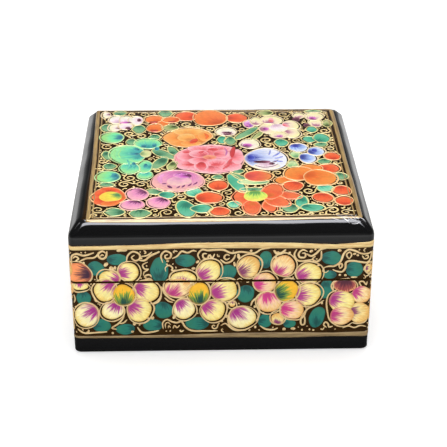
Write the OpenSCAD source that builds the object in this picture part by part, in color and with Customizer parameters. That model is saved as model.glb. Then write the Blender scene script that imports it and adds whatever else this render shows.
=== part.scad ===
// Square papier mache box with a lift-off lid.
// The origin is the middle of the underside, +Z is up and the front is -Y.
// Boards are glued edge to edge, and a skin of pasted paper and gesso covers their outside.

/* [Box] */
// Outside width, left to right
box_w = 76; // [50:0.5:140]
// Outside depth, front to back
box_d = 76; // [50:0.5:140]
// Height of the base, from the table to its rim
base_h = 21; // [12:0.5:50]
// Height of the lid, from the rim to its top
lid_h = 16; // [10:0.5:40]
// Play between the lip and the lid's walls, on each side
lid_play = 0.3; // [0.2:0.05:0.8]

/* [Boards] */
// Thickness of the four wall boards of the base. Those of the lid are thinner by its play.
wall_t = 2.4; // [1.6:0.1:4]
// Thickness of the floor board
floor_t = 2.4; // [1.5:0.1:4]
// Thickness of the board under the painted top
top_t = 3.2; // [2.5:0.1:5]
// Thickness of the pasted paper and gesso over the boards
skin_t = 0.6; // [0.3:0.1:1]

/* [Lip] */
// Thickness of the lip strips that stand inside the base's walls
lip_t = 1.6; // [1:0.1:3]
// How far the lip stands up above the rim, into the lid
lip_rise = 5; // [2:0.5:6]
// Radius of the lip's upper outer edge, which leads the lid on
lip_lead_r = 0.6; // [0.2:0.1:0.9]

/* [Edges] */
// Radius of the upright corners
corner_r = 1.6; // [1.2:0.1:3]
// Radius of the base's lower edge
foot_r = 1; // [1:0.1:3]
// Width of the bevel round the top, seen from above
bevel_w = 2.6; // [1:0.1:5]
// Height of the bevel round the top
bevel_h = 3; // [1:0.1:5]
// Radius of the two edges of the bevel
bevel_r = 0.9; // [0.3:0.1:1.5]
// Radius of the edges where lid and base meet
rim_r = 0.2; // [0.1:0.05:0.3]

/* [Hidden] */
$fn = 64;

box_h = base_h + lid_h;

// Lid and base are flush outside, so the lid's boards give way to the play.
lid_wall_t = wall_t - lid_play;

// Inside of the base's boards
room_w = box_w - 2 * (skin_t + wall_t);
room_d = box_d - 2 * (skin_t + wall_t);
floor_top = skin_t + floor_t;
lip_h = base_h - floor_top + lip_rise;

// Inside of the lid's boards
cap_w = box_w - 2 * (skin_t + lid_wall_t);
cap_d = box_d - 2 * (skin_t + lid_wall_t);
ceiling = box_h - skin_t - top_t;

// How far a cutting solid runs past what it cuts
past = 1;

black_lacquer = "#15110f";
grey_board = "#8d8474";
black_paint = "#1d1917";

// A block with round upright corners, standing on z = 0
module upright_block(w, d, h, r) {
  translate([-w / 2 + r, -d / 2, 0]) cube([w - 2 * r, d, h]);
  translate([-w / 2, -d / 2 + r, 0]) cube([w, d - 2 * r, h]);
  for (x = [-1, 1], y = [-1, 1])
    translate([x * (w / 2 - r), y * (d / 2 - r), 0]) cylinder(r = r, h = h);
}

// Two equal outlines, one seen from the front and one from the side, cut an upright block.
// Children 0 and 1 are those outlines, with z as their second axis.
module cut_both_ways(w, d) {
  intersection() {
    rotate([90, 0, 0]) linear_extrude(height = d + 2 * past, center = true) children(0);
    rotate([90, 0, 90]) linear_extrude(height = w + 2 * past, center = true) children(1);
  }
}

// A rectangle from low to high, whose two corners at the low end are round
module round_footed(span, low, high, r) {
  translate([-span / 2, low + r]) square([span, high - low - r]);
  translate([-span / 2 + r, low]) square([span - 2 * r, r]);
  for (x = [-1, 1]) translate([x * (span / 2 - r), low + r]) circle(r = r);
}

// Side view of the base: round at the foot, eased at the rim. inset takes it inwards all round,
// and an open outline runs on above the rim.
module base_outline(span, inset, open = false) {
  intersection() {
    round_footed(span - 2 * inset, inset, base_h + past, foot_r - inset);
    if (!open) translate([0, base_h]) mirror([0, 1]) round_footed(span, 0, base_h, rim_r);
  }
}

// The solid form of the base, taken inwards by inset
module base_form(inset = 0, open = false) {
  intersection() {
    upright_block(box_w - 2 * inset, box_d - 2 * inset, base_h + 2 * past, corner_r - inset);
    cut_both_ways(box_w, box_d) {
      base_outline(box_w, inset, open);
      base_outline(box_d, inset, open);
    }
  }
}

// Side view of the lid: bevelled at the top, eased at the rim. inset takes it inwards all round,
// and an open outline runs on below the rim.
module lid_outline(span, inset, open = false) {
  half = span / 2;
  low = base_h - 2 * past - bevel_r;
  intersection() {
    offset(r = bevel_r) offset(delta = -bevel_r - inset)
      polygon([
        [-half, low], [half, low],
        [half, box_h - bevel_h], [half - bevel_w, box_h],
        [-half + bevel_w, box_h], [-half, box_h - bevel_h]
      ]);
    if (!open) round_footed(span, base_h, box_h + past, rim_r);
  }
}

// The solid form of the lid, taken inwards by inset. An open one runs on below the rim.
module lid_form(inset = 0, open = false) {
  low = open ? base_h - past : base_h;
  intersection() {
    translate([0, 0, low])
      upright_block(box_w - 2 * inset, box_d - 2 * inset, box_h + past - low, corner_r - inset);
    cut_both_ways(box_w, box_d) {
      lid_outline(box_w, inset, open);
      lid_outline(box_d, inset, open);
    }
  }
}

// Pasted paper and gesso over the base's walls and underside
module base_skin() {
  color(black_lacquer) difference() {
    base_form();
    base_form(inset = skin_t, open = true);
  }
}

module base_floor() {
  color(black_paint) translate([-room_w / 2, -room_d / 2, skin_t]) cube([room_w, room_d, floor_t]);
}

// A wall board of the base along X, which has the corners. side is -1 in front and 1 behind.
module base_long_wall(side) {
  color(grey_board) intersection() {
    base_form(inset = skin_t, open = true);
    translate([-box_w / 2, side * (room_d + wall_t) / 2 - wall_t / 2, 0])
      cube([box_w, wall_t, base_h]);
  }
}

// A wall board of the base along Y, between the other two. side is -1 on the left and 1 on the right.
module base_short_wall(side) {
  color(grey_board) intersection() {
    base_form(inset = skin_t, open = true);
    translate([side * (room_w + wall_t) / 2 - wall_t / 2, -room_d / 2, 0])
      cube([wall_t, room_d, base_h]);
  }
}

module base_front_wall() { base_long_wall(-1); }
module base_back_wall() { base_long_wall(1); }
module base_left_wall() { base_short_wall(-1); }
module base_right_wall() { base_short_wall(1); }

// Cross-section of a lip strip, with its outer face at x = 0 and its body towards -x
module lip_outline() {
  translate([-lip_t, 0]) square([lip_t, lip_h - lip_lead_r]);
  translate([-lip_t, 0]) square([lip_t - lip_lead_r, lip_h]);
  translate([-lip_lead_r, lip_h - lip_lead_r]) circle(r = lip_lead_r);
}

// A lip strip of the given length, whose outer face is reach from the middle. turn says which wall.
module lip_strip(length, reach, turn) {
  color(black_paint) rotate([0, 0, turn])
    translate([reach, 0, floor_top])
      rotate([90, 0, 0]) linear_extrude(height = length, center = true) lip_outline();
}

module lip_front() { lip_strip(room_w, room_d / 2, -90); }
module lip_back() { lip_strip(room_w, room_d / 2, 90); }
module lip_left() { lip_strip(room_d - 2 * lip_t, room_w / 2, 180); }
module lip_right() { lip_strip(room_d - 2 * lip_t, room_w / 2, 0); }

// Pasted paper and gesso over the lid's walls, bevel and top
module lid_skin() {
  color(black_lacquer) difference() {
    lid_form();
    lid_form(inset = skin_t, open = true);
  }
}

// The board that makes the top, planed to the bevel
module lid_top_board() {
  color(black_paint) intersection() {
    lid_form(inset = skin_t, open = true);
    translate([-box_w / 2, -box_d / 2, ceiling]) cube([box_w, box_d, box_h - ceiling]);
  }
}

// A wall board of the lid along X, which has the corners. side is -1 in front and 1 behind.
module lid_long_wall(side) {
  color(black_paint) intersection() {
    lid_form(inset = skin_t, open = true);
    translate([-box_w / 2, side * (cap_d + lid_wall_t) / 2 - lid_wall_t / 2, base_h])
      cube([box_w, lid_wall_t, ceiling - base_h]);
  }
}

// A wall board of the lid along Y, between the other two. side is -1 on the left and 1 on the right.
module lid_short_wall(side) {
  color(black_paint) intersection() {
    lid_form(inset = skin_t, open = true);
    translate([side * (cap_w + lid_wall_t) / 2 - lid_wall_t / 2, -cap_d / 2, base_h])
      cube([lid_wall_t, cap_d, ceiling - base_h]);
  }
}

module lid_front_wall() { lid_long_wall(-1); }
module lid_back_wall() { lid_long_wall(1); }
module lid_left_wall() { lid_short_wall(-1); }
module lid_right_wall() { lid_short_wall(1); }

base_skin();
base_floor();
base_front_wall();
base_back_wall();
base_left_wall();
base_right_wall();
lip_front();
lip_back();
lip_left();
lip_right();
lid_skin();
lid_top_board();
lid_front_wall();
lid_back_wall();
lid_left_wall();
lid_right_wall();
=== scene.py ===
"""A square papier mache box with a loose lid, painted with flowers and scrolls and lacquered."""

import math
from collections import namedtuple

import bmesh
import bpy
import numpy as np
from mathutils import Matrix, Vector


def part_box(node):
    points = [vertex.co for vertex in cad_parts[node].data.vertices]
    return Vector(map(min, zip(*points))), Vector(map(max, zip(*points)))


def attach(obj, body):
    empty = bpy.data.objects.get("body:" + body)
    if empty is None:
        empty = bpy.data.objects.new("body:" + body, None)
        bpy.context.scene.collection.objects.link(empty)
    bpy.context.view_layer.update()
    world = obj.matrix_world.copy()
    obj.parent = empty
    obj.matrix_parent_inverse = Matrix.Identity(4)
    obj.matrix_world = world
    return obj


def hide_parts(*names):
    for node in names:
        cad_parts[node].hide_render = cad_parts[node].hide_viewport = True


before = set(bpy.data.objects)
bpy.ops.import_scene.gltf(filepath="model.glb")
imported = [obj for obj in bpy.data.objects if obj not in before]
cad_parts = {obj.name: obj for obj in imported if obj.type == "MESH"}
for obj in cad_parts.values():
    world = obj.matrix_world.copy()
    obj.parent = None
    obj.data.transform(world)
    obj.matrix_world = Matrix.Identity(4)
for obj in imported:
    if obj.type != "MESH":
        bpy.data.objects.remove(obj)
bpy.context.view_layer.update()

# Every size below is in millimetres, and a mesh is brought to metres as it is made.
MM = 0.001
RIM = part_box("base_skin")[1][2] / MM
HALF, _, TOP = (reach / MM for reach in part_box("lid_skin")[1])


# Wall, floor and lid boards: pasted waste paper pressed flat and cut with a knife.
# They are glued edge to edge, and brushed black wherever they show inside the box.
def linear(hex_colour):
    """An sRGB hex colour as linear red, green, blue and alpha."""
    parts = np.array([int(hex_colour[i : i + 2], 16) for i in (1, 3, 5)]) / 255
    low, high = parts / 12.92, ((parts + 0.055) / 1.055) ** 2.4
    return (*np.where(parts <= 0.04045, low, high).tolist(), 1.0)


def plug(tree, node, sockets):
    """Sets a node's sockets. Each value is a constant, or the output that the socket is linked to."""
    for name, value in sockets.items():
        if isinstance(value, bpy.types.NodeSocket):
            tree.links.new(value, node.inputs[name])
        else:
            node.inputs[name].default_value = value


def add(tree, kind, sockets=None, out=0, **settings):
    """Adds a node with its settings and sockets, and gives one of its outputs, by number or by name."""
    made = tree.nodes.new("ShaderNode" + kind)
    for name, value in settings.items():
        setattr(made, name, value)
    plug(tree, made, sockets or {})
    return made.outputs[out]


def noise(tree, place, scale, detail=2.0, roughness=0.5):
    """Fractal noise at a place."""
    return add(tree, "TexNoise", {"Vector": place, "Scale": scale, "Detail": detail, "Roughness": roughness})


def ramp(tree, value, start=0.0, stop=1.0, low=0.0, high=1.0, kind="LINEAR"):
    """Runs from low to high while the value runs from start to stop."""
    ends = {"Value": value, "From Min": start, "From Max": stop, "To Min": low, "To Max": high}
    return add(tree, "MapRange", ends, interpolation_type=kind)


def times(tree, first, second):
    """One value times another."""
    return add(tree, "Math", {0: first, 1: second}, operation="MULTIPLY")


def mix(tree, share, under, upper):
    """A share of one colour laid over another. Each is a hex colour or an output."""
    under, upper = (linear(colour) if isinstance(colour, str) else colour for colour in (under, upper))
    return add(tree, "Mix", {0: share, 6: under, 7: upper}, out=2, data_type="RGBA")


def relief(tree, height, strength, depth):
    """The normal of a surface with a relief, whose depth is in millimetres."""
    return add(tree, "Bump", {"Height": height, "Strength": strength, "Distance": depth * MM})


def finish_material(name):
    """An empty material with its node tree and the shader that the finish is set on."""
    made = bpy.data.materials.new(name)
    made.use_nodes = True
    return made, made.node_tree, made.node_tree.nodes["Principled BSDF"]


def brushed_board(name, paint, board, worn, brush_width):
    """Distemper brushed thinly over pasted board: dull, streaked along the brush, with board showing
    through."""
    made, tree, shader = finish_material(name)
    place = add(tree, "TexCoord", out="Object")
    per_m = 1 / (brush_width * MM)
    along = add(tree, "Mapping", {"Vector": place, "Scale": (per_m * 0.12, per_m, per_m)})
    streaks = noise(tree, along, 1.0, 5.0, 0.7)
    fibres = noise(tree, place, 1 / (0.35 * MM), 4.0)
    thin = ramp(tree, streaks, 0.72 - worn * 0.3, 0.8 - worn * 0.1)
    height = add(tree, "Math", {0: streaks, 1: fibres}, operation="ADD")
    plug(tree, shader, {
        "Base Color": mix(tree, thin, paint, board),
        "Roughness": ramp(tree, fibres, low=0.5, high=0.75),
        "Normal": relief(tree, height, 0.5, 0.05),
        "IOR": 1.45,
    })
    return made


inside_black = brushed_board("black_distemper_on_board", "#1b1816", "#5b5348", worn=0.15, brush_width=1.6)
edge_black = brushed_board("rubbed_board_edge", "#25211d", "#8d8474", worn=0.5, brush_width=0.9)
for name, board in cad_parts.items():
    board.data.materials.clear()
    board.data.materials.append(edge_black if name.startswith("base") and "wall" in name else inside_black)


# Lid and base skins: pasted paper and gesso, rubbed smooth by hand and lacquered black.
# They are the box's whole outside, and they are a little uneven, as rubbing leaves them.
BEVEL_W, BEVEL_H = 2.6, 3.0
ARRIS_R, SHOULDER_R, FOOT_R, RIM_R, EDGE_R = 2.8, 2.2, 0.6, 0.3, 0.01
CORNER_R, MITRE_R, MIDDLE_R = 1.6, 2.6, 0.7
SKIN_T = 0.58
PAINT_ROOM = 0.18
WALL_RIPPLE, TOP_RIPPLE, BEVEL_RIPPLE = 0.03, 0.012, 0.07
LINE_STEP, TURN_STEP = 1.2, 0.16
PER_SIDE, PER_CORNER = 66, 8
BAND_LOW, BAND_HIGH = 4.6, 31.2
FIELD_HALF = 34.3
NEAR_WALL, NEAR_TOP = 1.0, 0.4


def ripple(points):
    """Slow unevenness, from -1 to 1: the mean of four sine waves, 9 to 30 mm long, in four directions."""
    waves = (
        (0.21, 0.13, 0.29, 1.0), (-0.19, 0.37, 0.31, 2.2), (0.55, 0.43, -0.27, 0.7), (-0.34, 0.5, 0.45, 4.1),
    )
    return sum(np.sin(points @ np.array(way) + shift) for *way, shift in waves) / len(waves)


def eased(corners, radii):
    """A line through corners, each rounded by an arc of its radius, which meets both straight runs
    at radius * tan(half the turn). Straight runs are cut into steps of about LINE_STEP."""
    corners = np.array(corners, float)
    path = [corners[:1]]
    for before, here, after, radius in zip(corners, corners[1:], corners[2:], radii):
        into, out = here - before, after - here
        into, out = into / np.linalg.norm(into), out / np.linalg.norm(out)
        turn = math.acos(np.clip(into @ out, -1, 1))
        swing = np.linspace(0, turn, max(3, round(turn / TURN_STEP)) + 1)[:, None]
        side = out - (into @ out) * into
        side = side / np.linalg.norm(side)
        start = here - into * (radius * math.tan(turn / 2))
        path.append(start + radius * (np.sin(swing) * into + (1 - np.cos(swing)) * side))
    path.append(corners[-1:])
    whole = []
    for run, following in zip(path, path[1:]):
        gap = following[0] - run[-1]
        cuts = np.linspace(0, 1, max(1, round(np.linalg.norm(gap) / LINE_STEP)) + 1)[1:-1, None]
        whole += [run, run[-1] + cuts * gap]
    return np.concatenate(whole + [path[-1]])


def swung(x, y, z, angle):
    """Points turned about the upright axis."""
    return np.stack([x * np.cos(angle) - y * np.sin(angle), x * np.sin(angle) + y * np.cos(angle), z], -1)


def carried_round(outline):
    """The outline, as (inset, height), carried round a square with round corners. A ring's half width
    is HALF - inset. Its corner radius grows over the bevel, whose mitres were rubbed round, and shrinks
    towards the middle."""
    straight = np.linspace(-1, 1, PER_SIDE)
    bend = np.linspace(0, np.pi / 2, PER_CORNER + 2)[1:-1]
    along = np.tile(np.concatenate([straight, np.ones(PER_CORNER)]), 4)
    angle = np.tile(np.concatenate([np.zeros(PER_SIDE), bend]), 4)
    side = np.repeat(np.arange(4), PER_SIDE + PER_CORNER) * np.pi / 2
    inset, height = outline[:, :1], outline[:, 1:]
    half = HALF - inset
    corner = np.interp(inset, [0.6, BEVEL_W, BEVEL_W + 5, HALF], [CORNER_R, MITRE_R, MIDDLE_R, MIDDLE_R])
    corner = np.minimum(corner, half)
    out_x, out_y = np.sin(angle), -np.cos(angle)
    x, y = along * (half - corner) + corner * out_x, -(half - corner) + corner * out_y
    ring = swung(x, y, np.broadcast_to(height, x.shape), side)
    tangent = np.gradient(outline, axis=0)
    tangent /= np.linalg.norm(tangent, axis=1, keepdims=True) + 1e-9
    sideways = swung(out_x, out_y, 0 * out_x, side)
    normal = tangent[:, 1, None, None] * sideways + tangent[:, 0, None, None] * np.array([0, 0, 1])
    return ring, normal


def between_rings(rings, around):
    """The numbers of the points of stacked rings, but for the last ring, and of the next point round."""
    row, spoke = np.meshgrid(np.arange(rings - 1), np.arange(around), indexing="ij")
    return row * around + spoke, row * around + (spoke + 1) % around


def put(name, data):
    """A new object in the scene."""
    made = bpy.data.objects.new(name, data)
    bpy.context.scene.collection.objects.link(made)
    return made


def skin(name, outline, unevenness, bodies_skin, body, material):
    """A closed shell: the outline runs from the middle inside, over the rim, to the middle outside.
    Each ring is a square with round corners, and both ends close at a point."""
    ring, normal = carried_round(outline[1:-1])
    ring = ring + normal * (ripple(ring) * unevenness[1:-1, None])[..., None]
    rings, around = ring.shape[:2]
    points = np.concatenate([ring.reshape(-1, 3), [[0, 0, outline[0, 1]], [0, 0, outline[-1, 1]]]])
    here, there = between_rings(rings, around)
    quads = np.stack([here, there, there + around, here + around], -1).reshape(-1, 4)
    spokes = np.arange(around)
    onward, last = (spokes + 1) % around, (rings - 1) * around
    first_fan = np.stack([spokes * 0 + rings * around, onward, spokes], -1)
    last_fan = np.stack([spokes * 0 + rings * around + 1, last + spokes, last + onward], -1)
    mesh = bpy.data.meshes.new(name)
    mesh.from_pydata((points * MM).tolist(), [], quads.tolist() + first_fan.tolist() + last_fan.tolist())
    shell = bmesh.new()
    shell.from_mesh(mesh)
    bmesh.ops.recalc_face_normals(shell, faces=shell.faces)
    shell.to_mesh(mesh)
    shell.free()
    mesh.shade_smooth()
    widest = np.abs(points[:, :2]).max(1)
    on_wall = (points[:, 2] > BAND_LOW) & (points[:, 2] < BAND_HIGH) & (widest > HALF - NEAR_WALL)
    on_top = (points[:, 2] > TOP - NEAR_TOP) & (widest < FIELD_HALF)
    ground = mesh.attributes.new("painted_ground", "FLOAT", "POINT")
    ground.data.foreach_set("value", (on_wall | on_top).astype(np.float32))
    mesh.materials.append(material)
    made = put(name, mesh)
    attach(made, body)
    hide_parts(bodies_skin)
    return made


def lacquer():
    """Black spirit lacquer over gesso, rubbed and coated again: near black, a clear mirror at a low angle,
    with faint long brush marks. Inside the gold borders the ground under it is a warm brown, rubbed dull."""
    made, tree, shader = finish_material("black_spirit_lacquer")
    place = add(tree, "TexCoord", out="Object")
    ground = add(tree, "Attribute", out="Fac", attribute_name="painted_ground")
    brown = mix(tree, noise(tree, place, 1 / (2.2 * MM), 4.0), "#180e02", "#402806")
    drag = add(tree, "Mapping", {"Vector": place, "Scale": (60.0, 60.0, 900.0)})
    marks = noise(tree, drag, 1.0, 3.0)
    plug(tree, shader, {
        "Base Color": mix(tree, ground, "#0a0a0b", brown),
        "Roughness": ramp(tree, marks, low=0.06, high=0.16),
        "Specular IOR Level": ramp(tree, ground, low=0.5, high=0.2),
        "Normal": relief(tree, marks, 0.25, 0.02),
        "IOR": 1.5,
    })
    return made


wall_turn = math.atan2(BEVEL_W, BEVEL_H)
top_turn = math.pi / 2 - wall_turn


def lid_corners(inset):
    """Where wall, bevel and top meet when all three are moved in by inset: each corner shifts
    along its wall by inset * tan(half the turn)."""
    shoulder = (inset, TOP - BEVEL_H - inset * math.tan(wall_turn / 2))
    arris = (BEVEL_W + inset * math.tan(top_turn / 2), TOP - inset)
    return shoulder, arris


inner_shoulder, inner_arris = lid_corners(SKIN_T)
shoulder, arris = lid_corners(PAINT_ROOM)
lid_outline = eased(
    [
        (HALF, inner_arris[1]), inner_arris, inner_shoulder, (SKIN_T, RIM), (PAINT_ROOM, RIM),
        shoulder, arris, (HALF, TOP - PAINT_ROOM),
    ],
    [EDGE_R, EDGE_R, 0.1, RIM_R, SHOULDER_R, ARRIS_R],
)
base_outline = eased(
    [(HALF, SKIN_T), (SKIN_T, SKIN_T), (SKIN_T, RIM), (PAINT_ROOM, RIM), (PAINT_ROOM, 0.0), (HALF, 0.0)],
    [EDGE_R, 0.1, RIM_R, FOOT_R],
)
lacquer_black = lacquer()
outside = np.arange(len(lid_outline)) > np.argmin(lid_outline[:, 1])
# How uneven the lid is, from its rim to the middle of its top: the bevel most, as it was filed by hand.
unevenness = np.interp(
    lid_outline[:, 0], [0.3, 1.0, 2.4, 6.0], [WALL_RIPPLE, BEVEL_RIPPLE, BEVEL_RIPPLE, TOP_RIPPLE],
)
lid_ripple = np.where(outside, unevenness, 0)
skin("lid_lacquer", lid_outline, lid_ripple, "lid_skin", "lid", lacquer_black)
# The base's outline comes down its wall, so its outward side is the other one. Its foot is true.
base_outside = (np.arange(len(base_outline)) > np.argmax(base_outline[:, 1])) & (base_outline[:, 1] > 1.5)
base_ripple = np.where(base_outside, -WALL_RIPPLE, 0)
skin("base_lacquer", base_outline, base_ripple, "base_skin", "base", lacquer_black)


# Gold lines: brass powder bound in gum, drawn with a brush of a few hairs over the brown ground.
# They stand up a little from the lacquer, thick where the brush was pressed and thin where it was lifted.
LAYER = 0.02
LINE_T = 0.045
STROKE_STEP = 0.35
SINK = 0.06
PARTING_GAP = 0.3
BAND_POINTS, SEAM_GAP, TOP_SIDE_POINTS = 500, 0.02, 100
SECTION = np.array([[-1, -SINK], [-1, 0.35], [-0.45, 1.0], [0.45, 1.0], [1, 0.35], [1, -SINK]])
WALL_STRAIGHT = HALF - CORNER_R
WALL_LENGTH = 2 * WALL_STRAIGHT + math.pi / 2 * CORNER_R
Patch = namedtuple("Patch", "points faces uv rim paint")
PAINTS = {}


def heading(angle):
    """One step to the side and up, at an angle."""
    return np.stack([np.cos(angle), np.sin(angle)], -1)


def lay_on_wall(points):
    """Way round the walls from the middle of the front, height, and height above the skin, to x, y and z.
    On a corner the way round is an arc, so a stroke that runs past the corner bends with it."""
    way, z, proud = points.T
    side = np.round(way / WALL_LENGTH)
    from_middle = way - side * WALL_LENGTH
    turn = np.sign(from_middle) * np.clip(np.abs(from_middle) - WALL_STRAIGHT, 0, None) / CORNER_R
    straight = np.clip(from_middle, -WALL_STRAIGHT, WALL_STRAIGHT)

    def placed(reach):
        x, y = straight + reach * np.sin(turn), -WALL_STRAIGHT - reach * np.cos(turn)
        return swung(x, y, z, side * np.pi / 2)

    skin_reach = CORNER_R - PAINT_ROOM
    return placed(skin_reach + WALL_RIPPLE * ripple(placed(skin_reach)) + proud)


def lay_on_top(points):
    """Place on the top and height above the skin, to x, y and z. Near the edge it follows the arris down."""
    x, y, proud = points.T
    inset = HALF - np.maximum(np.abs(x), np.abs(y))
    upper = outside & (lid_outline[:, 1] > TOP - BEVEL_H)
    at = lid_outline[upper, 0]
    z, uneven = (np.interp(inset, at, values[upper]) for values in (lid_outline[:, 1], lid_ripple))
    flat = np.stack([x, y, z], -1)
    return flat + np.stack([0 * x, 0 * x, uneven * ripple(flat) + proud], -1)


def through(marks):
    """A smooth line through a few marks: on each stretch a cubic whose slope at a mark is half the way
    from the mark before it to the mark after it. Its points are then spaced evenly."""
    marks = np.array(marks, float)
    ends = np.concatenate([2 * marks[:1] - marks[1:2], marks, 2 * marks[-1:] - marks[-2:-1]])
    a, b, c, d = ends[:-3, None], ends[1:-2, None], ends[2:-1, None], ends[3:, None]
    t = np.linspace(0, 1, 16, endpoint=False)[None, :, None]
    bend, twist = 2 * a - 5 * b + 4 * c - d, 3 * b - a - 3 * c + d
    line = 0.5 * (2 * b + (c - a) * t + bend * t**2 + twist * t**3)
    line = np.concatenate([line.reshape(-1, 2), marks[-1:]])
    walked = np.concatenate([[0], np.cumsum(np.linalg.norm(np.diff(line, axis=0), axis=1))])
    even = np.linspace(0, walked[-1], max(4, round(walked[-1] / STROKE_STEP)) + 1)
    return np.stack([np.interp(even, walked, line[:, axis]) for axis in (0, 1)], -1)


def ribbons(lines, width, base, paint, closed=False, far=None):
    """Brush lines, as low rounded ribbons. lines is (number, points, 2), and width gives each point's width.
    SECTION has six points: flat under the skin, steep at the edges and gently round on top.
    A closed line round the walls starts again four wall lengths further back.
    The strokes map is the way along the line and across it, or how far from the root its paint is."""
    lines = np.asarray(lines, float)
    number, length = lines.shape[:2]
    if closed:
        ahead = np.roll(lines, -1, 1) - np.roll(lines, 1, 1)
        ahead[..., 0] -= 4 * WALL_LENGTH * np.round(ahead[..., 0] / (4 * WALL_LENGTH))
    else:
        ahead = np.gradient(lines, axis=1)
    ahead /= np.linalg.norm(ahead, axis=2, keepdims=True) + 1e-9
    left = np.stack([-ahead[..., 1], ahead[..., 0]], -1)
    half = np.broadcast_to(width, (number, length))[..., None] / 2
    flat = lines[:, :, None] + left[:, :, None] * (half * SECTION[:, 0])[..., None]
    base = np.broadcast_to(base, (number,))[:, None]
    rise = np.where(SECTION[:, 1] < 0, -SINK, base + LINE_T * SECTION[:, 1])
    rise = np.broadcast_to(rise[:, None], flat.shape[:3])
    points = np.concatenate([flat, rise[..., None]], -1).reshape(-1, 3)
    sides, steps = len(SECTION), length if closed else length - 1
    each, i, k = np.meshgrid(np.arange(number), np.arange(steps), np.arange(sides), indexing="ij")
    here, there = ((each * length + at) * sides for at in (i, (i + 1) % length))
    onward = (k + 1) % sides
    faces = [np.stack([here + k, there + k, there + onward, here + onward], -1).reshape(-1, 4)]
    if not closed:
        first = np.arange(number)[:, None] * length * sides + np.arange(sides)
        faces += [first, first[:, ::-1] + (length - 1) * sides]
    walked = np.cumsum(np.linalg.norm(np.diff(lines, axis=1, prepend=lines[:, :1]), axis=2), axis=1)
    seeded = walked + lines[:, :1, 0] * 7 + lines[:, :1, 1] * 3
    rim = np.abs(np.broadcast_to(SECTION[:, 0], flat.shape[:3])) * 0.9
    across = np.broadcast_to(SECTION[:, 0] if far is None else far, flat.shape[:3])
    uv = np.stack([np.repeat(seeded[..., None], sides, -1), across], -1)
    return Patch(points, faces, uv.reshape(-1, 2), rim.ravel(), paint)


def stroke(marks, width, paint, layer=0.0, far=None, press=0.5):
    """One brush stroke through a few marks, thin where the brush lands and lifts, and full between."""
    line = through(marks)
    share = np.linspace(0, 1, len(line))
    swell = np.clip(4 * share * (1 - share), 0.02, None) ** press
    return ribbons(line[None], width * swell[None], layer * LAYER, paint, far=far)


def curl(u, v, radius, turns, facing, tail):
    """A scroll: a spiral wound out from the middle to its radius, where it faces an angle, and on through
    the tail's marks. Its radius grows evenly with the turn, and turns below 0 wind clockwise."""
    share = np.linspace(0, 1, max(10, round(abs(turns) * 14)))
    angle = math.radians(facing) - 2 * math.pi * turns * (1 - share)
    reach = radius * (0.14 + 0.86 * share**0.8)
    wound = np.array([u, v]) + reach[:, None] * heading(angle)
    return np.concatenate([wound, np.array(tail, float).reshape(-1, 2)])


def cut_at_parting(mesh, keep):
    """Cuts a mesh of laid-out paint at the parting line. With keep 1 what is above stays, with -1 what is
    below, and the cut is closed again."""
    sheet = bmesh.new()
    sheet.from_mesh(mesh)
    cut = bmesh.ops.bisect_plane(
        sheet, geom=[*sheet.verts, *sheet.edges, *sheet.faces], dist=1e-5,
        plane_co=(0, RIM + keep * PARTING_GAP, 0), plane_no=(0, keep, 0), clear_inner=True,
    )
    rims = [part for part in cut["geom_cut"] if isinstance(part, bmesh.types.BMEdge)]
    bmesh.ops.holes_fill(sheet, edges=rims, sides=0)
    sheet.to_mesh(mesh)
    sheet.free()


def piece(name, patches, lay, body, keep=0):
    """One mesh from patches of paint, laid on the box, and cut at the parting line where keep isn't 0."""
    starts = np.cumsum([0] + [len(patch.points) for patch in patches])
    parts = [[getattr(patch, part) for patch in patches] for part in ("points", "uv", "rim")]
    points, uv, rim = (np.concatenate(part) for part in parts)
    faces, paints = [], []
    used = sorted({patch.paint for patch in patches})
    for patch, start in zip(patches, starts):
        for block in patch.faces:
            faces += (block + start).tolist()
            paints += [used.index(patch.paint)] * len(block)
    mesh = bpy.data.meshes.new(name)
    mesh.from_pydata(points.tolist(), [], faces)
    corner_point = np.empty(len(mesh.loops), np.int32)
    mesh.loops.foreach_get("vertex_index", corner_point)
    mesh.uv_layers.new(name="strokes").data.foreach_set("uv", uv[corner_point].astype(np.float32).ravel())
    mesh.attributes.new("rim", "FLOAT", "POINT").data.foreach_set("value", rim.astype(np.float32))
    mesh.polygons.foreach_set("material_index", np.array(paints, np.int32))
    for paint in used:
        mesh.materials.append(PAINTS[paint])
    if keep:
        cut_at_parting(mesh, keep)
    spots = np.empty(len(mesh.vertices) * 3, np.float32)
    mesh.vertices.foreach_get("co", spots)
    placed = lay(spots.reshape(-1, 3).astype(float)) * MM
    mesh.vertices.foreach_set("co", placed.astype(np.float32).ravel())
    mesh.shade_smooth()
    mesh.update()
    made = put(name, mesh)
    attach(made, body)
    return made


def gold_powder(name, bright, dull, streak_mm):
    """Brass powder in gum under lacquer: pale, hardly metallic, drawn out in hair-thin streaks along the
    line and darker where the brush ran dry."""
    made, tree, shader = finish_material(name)
    strokes = add(tree, "UVMap", uv_map="strokes")
    drawn = add(tree, "Mapping", {"Vector": strokes, "Scale": (1 / (6 * streak_mm), 1.6, 1.0)})
    hairs = noise(tree, drawn, 1.0, 4.0, 0.65)
    grains = noise(tree, add(tree, "TexCoord", out="Object"), 1 / (0.06 * MM))
    plug(tree, shader, {
        "Base Color": mix(tree, ramp(tree, hairs, 0.33, 0.6), dull, bright),
        "Roughness": ramp(tree, grains, low=0.36, high=0.5),
        "Normal": relief(tree, hairs, 0.4, 0.02),
        "Metallic": 0.25,
        "Coat Weight": 1.0,
        "Coat Roughness": 0.07,
    })
    return made


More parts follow.
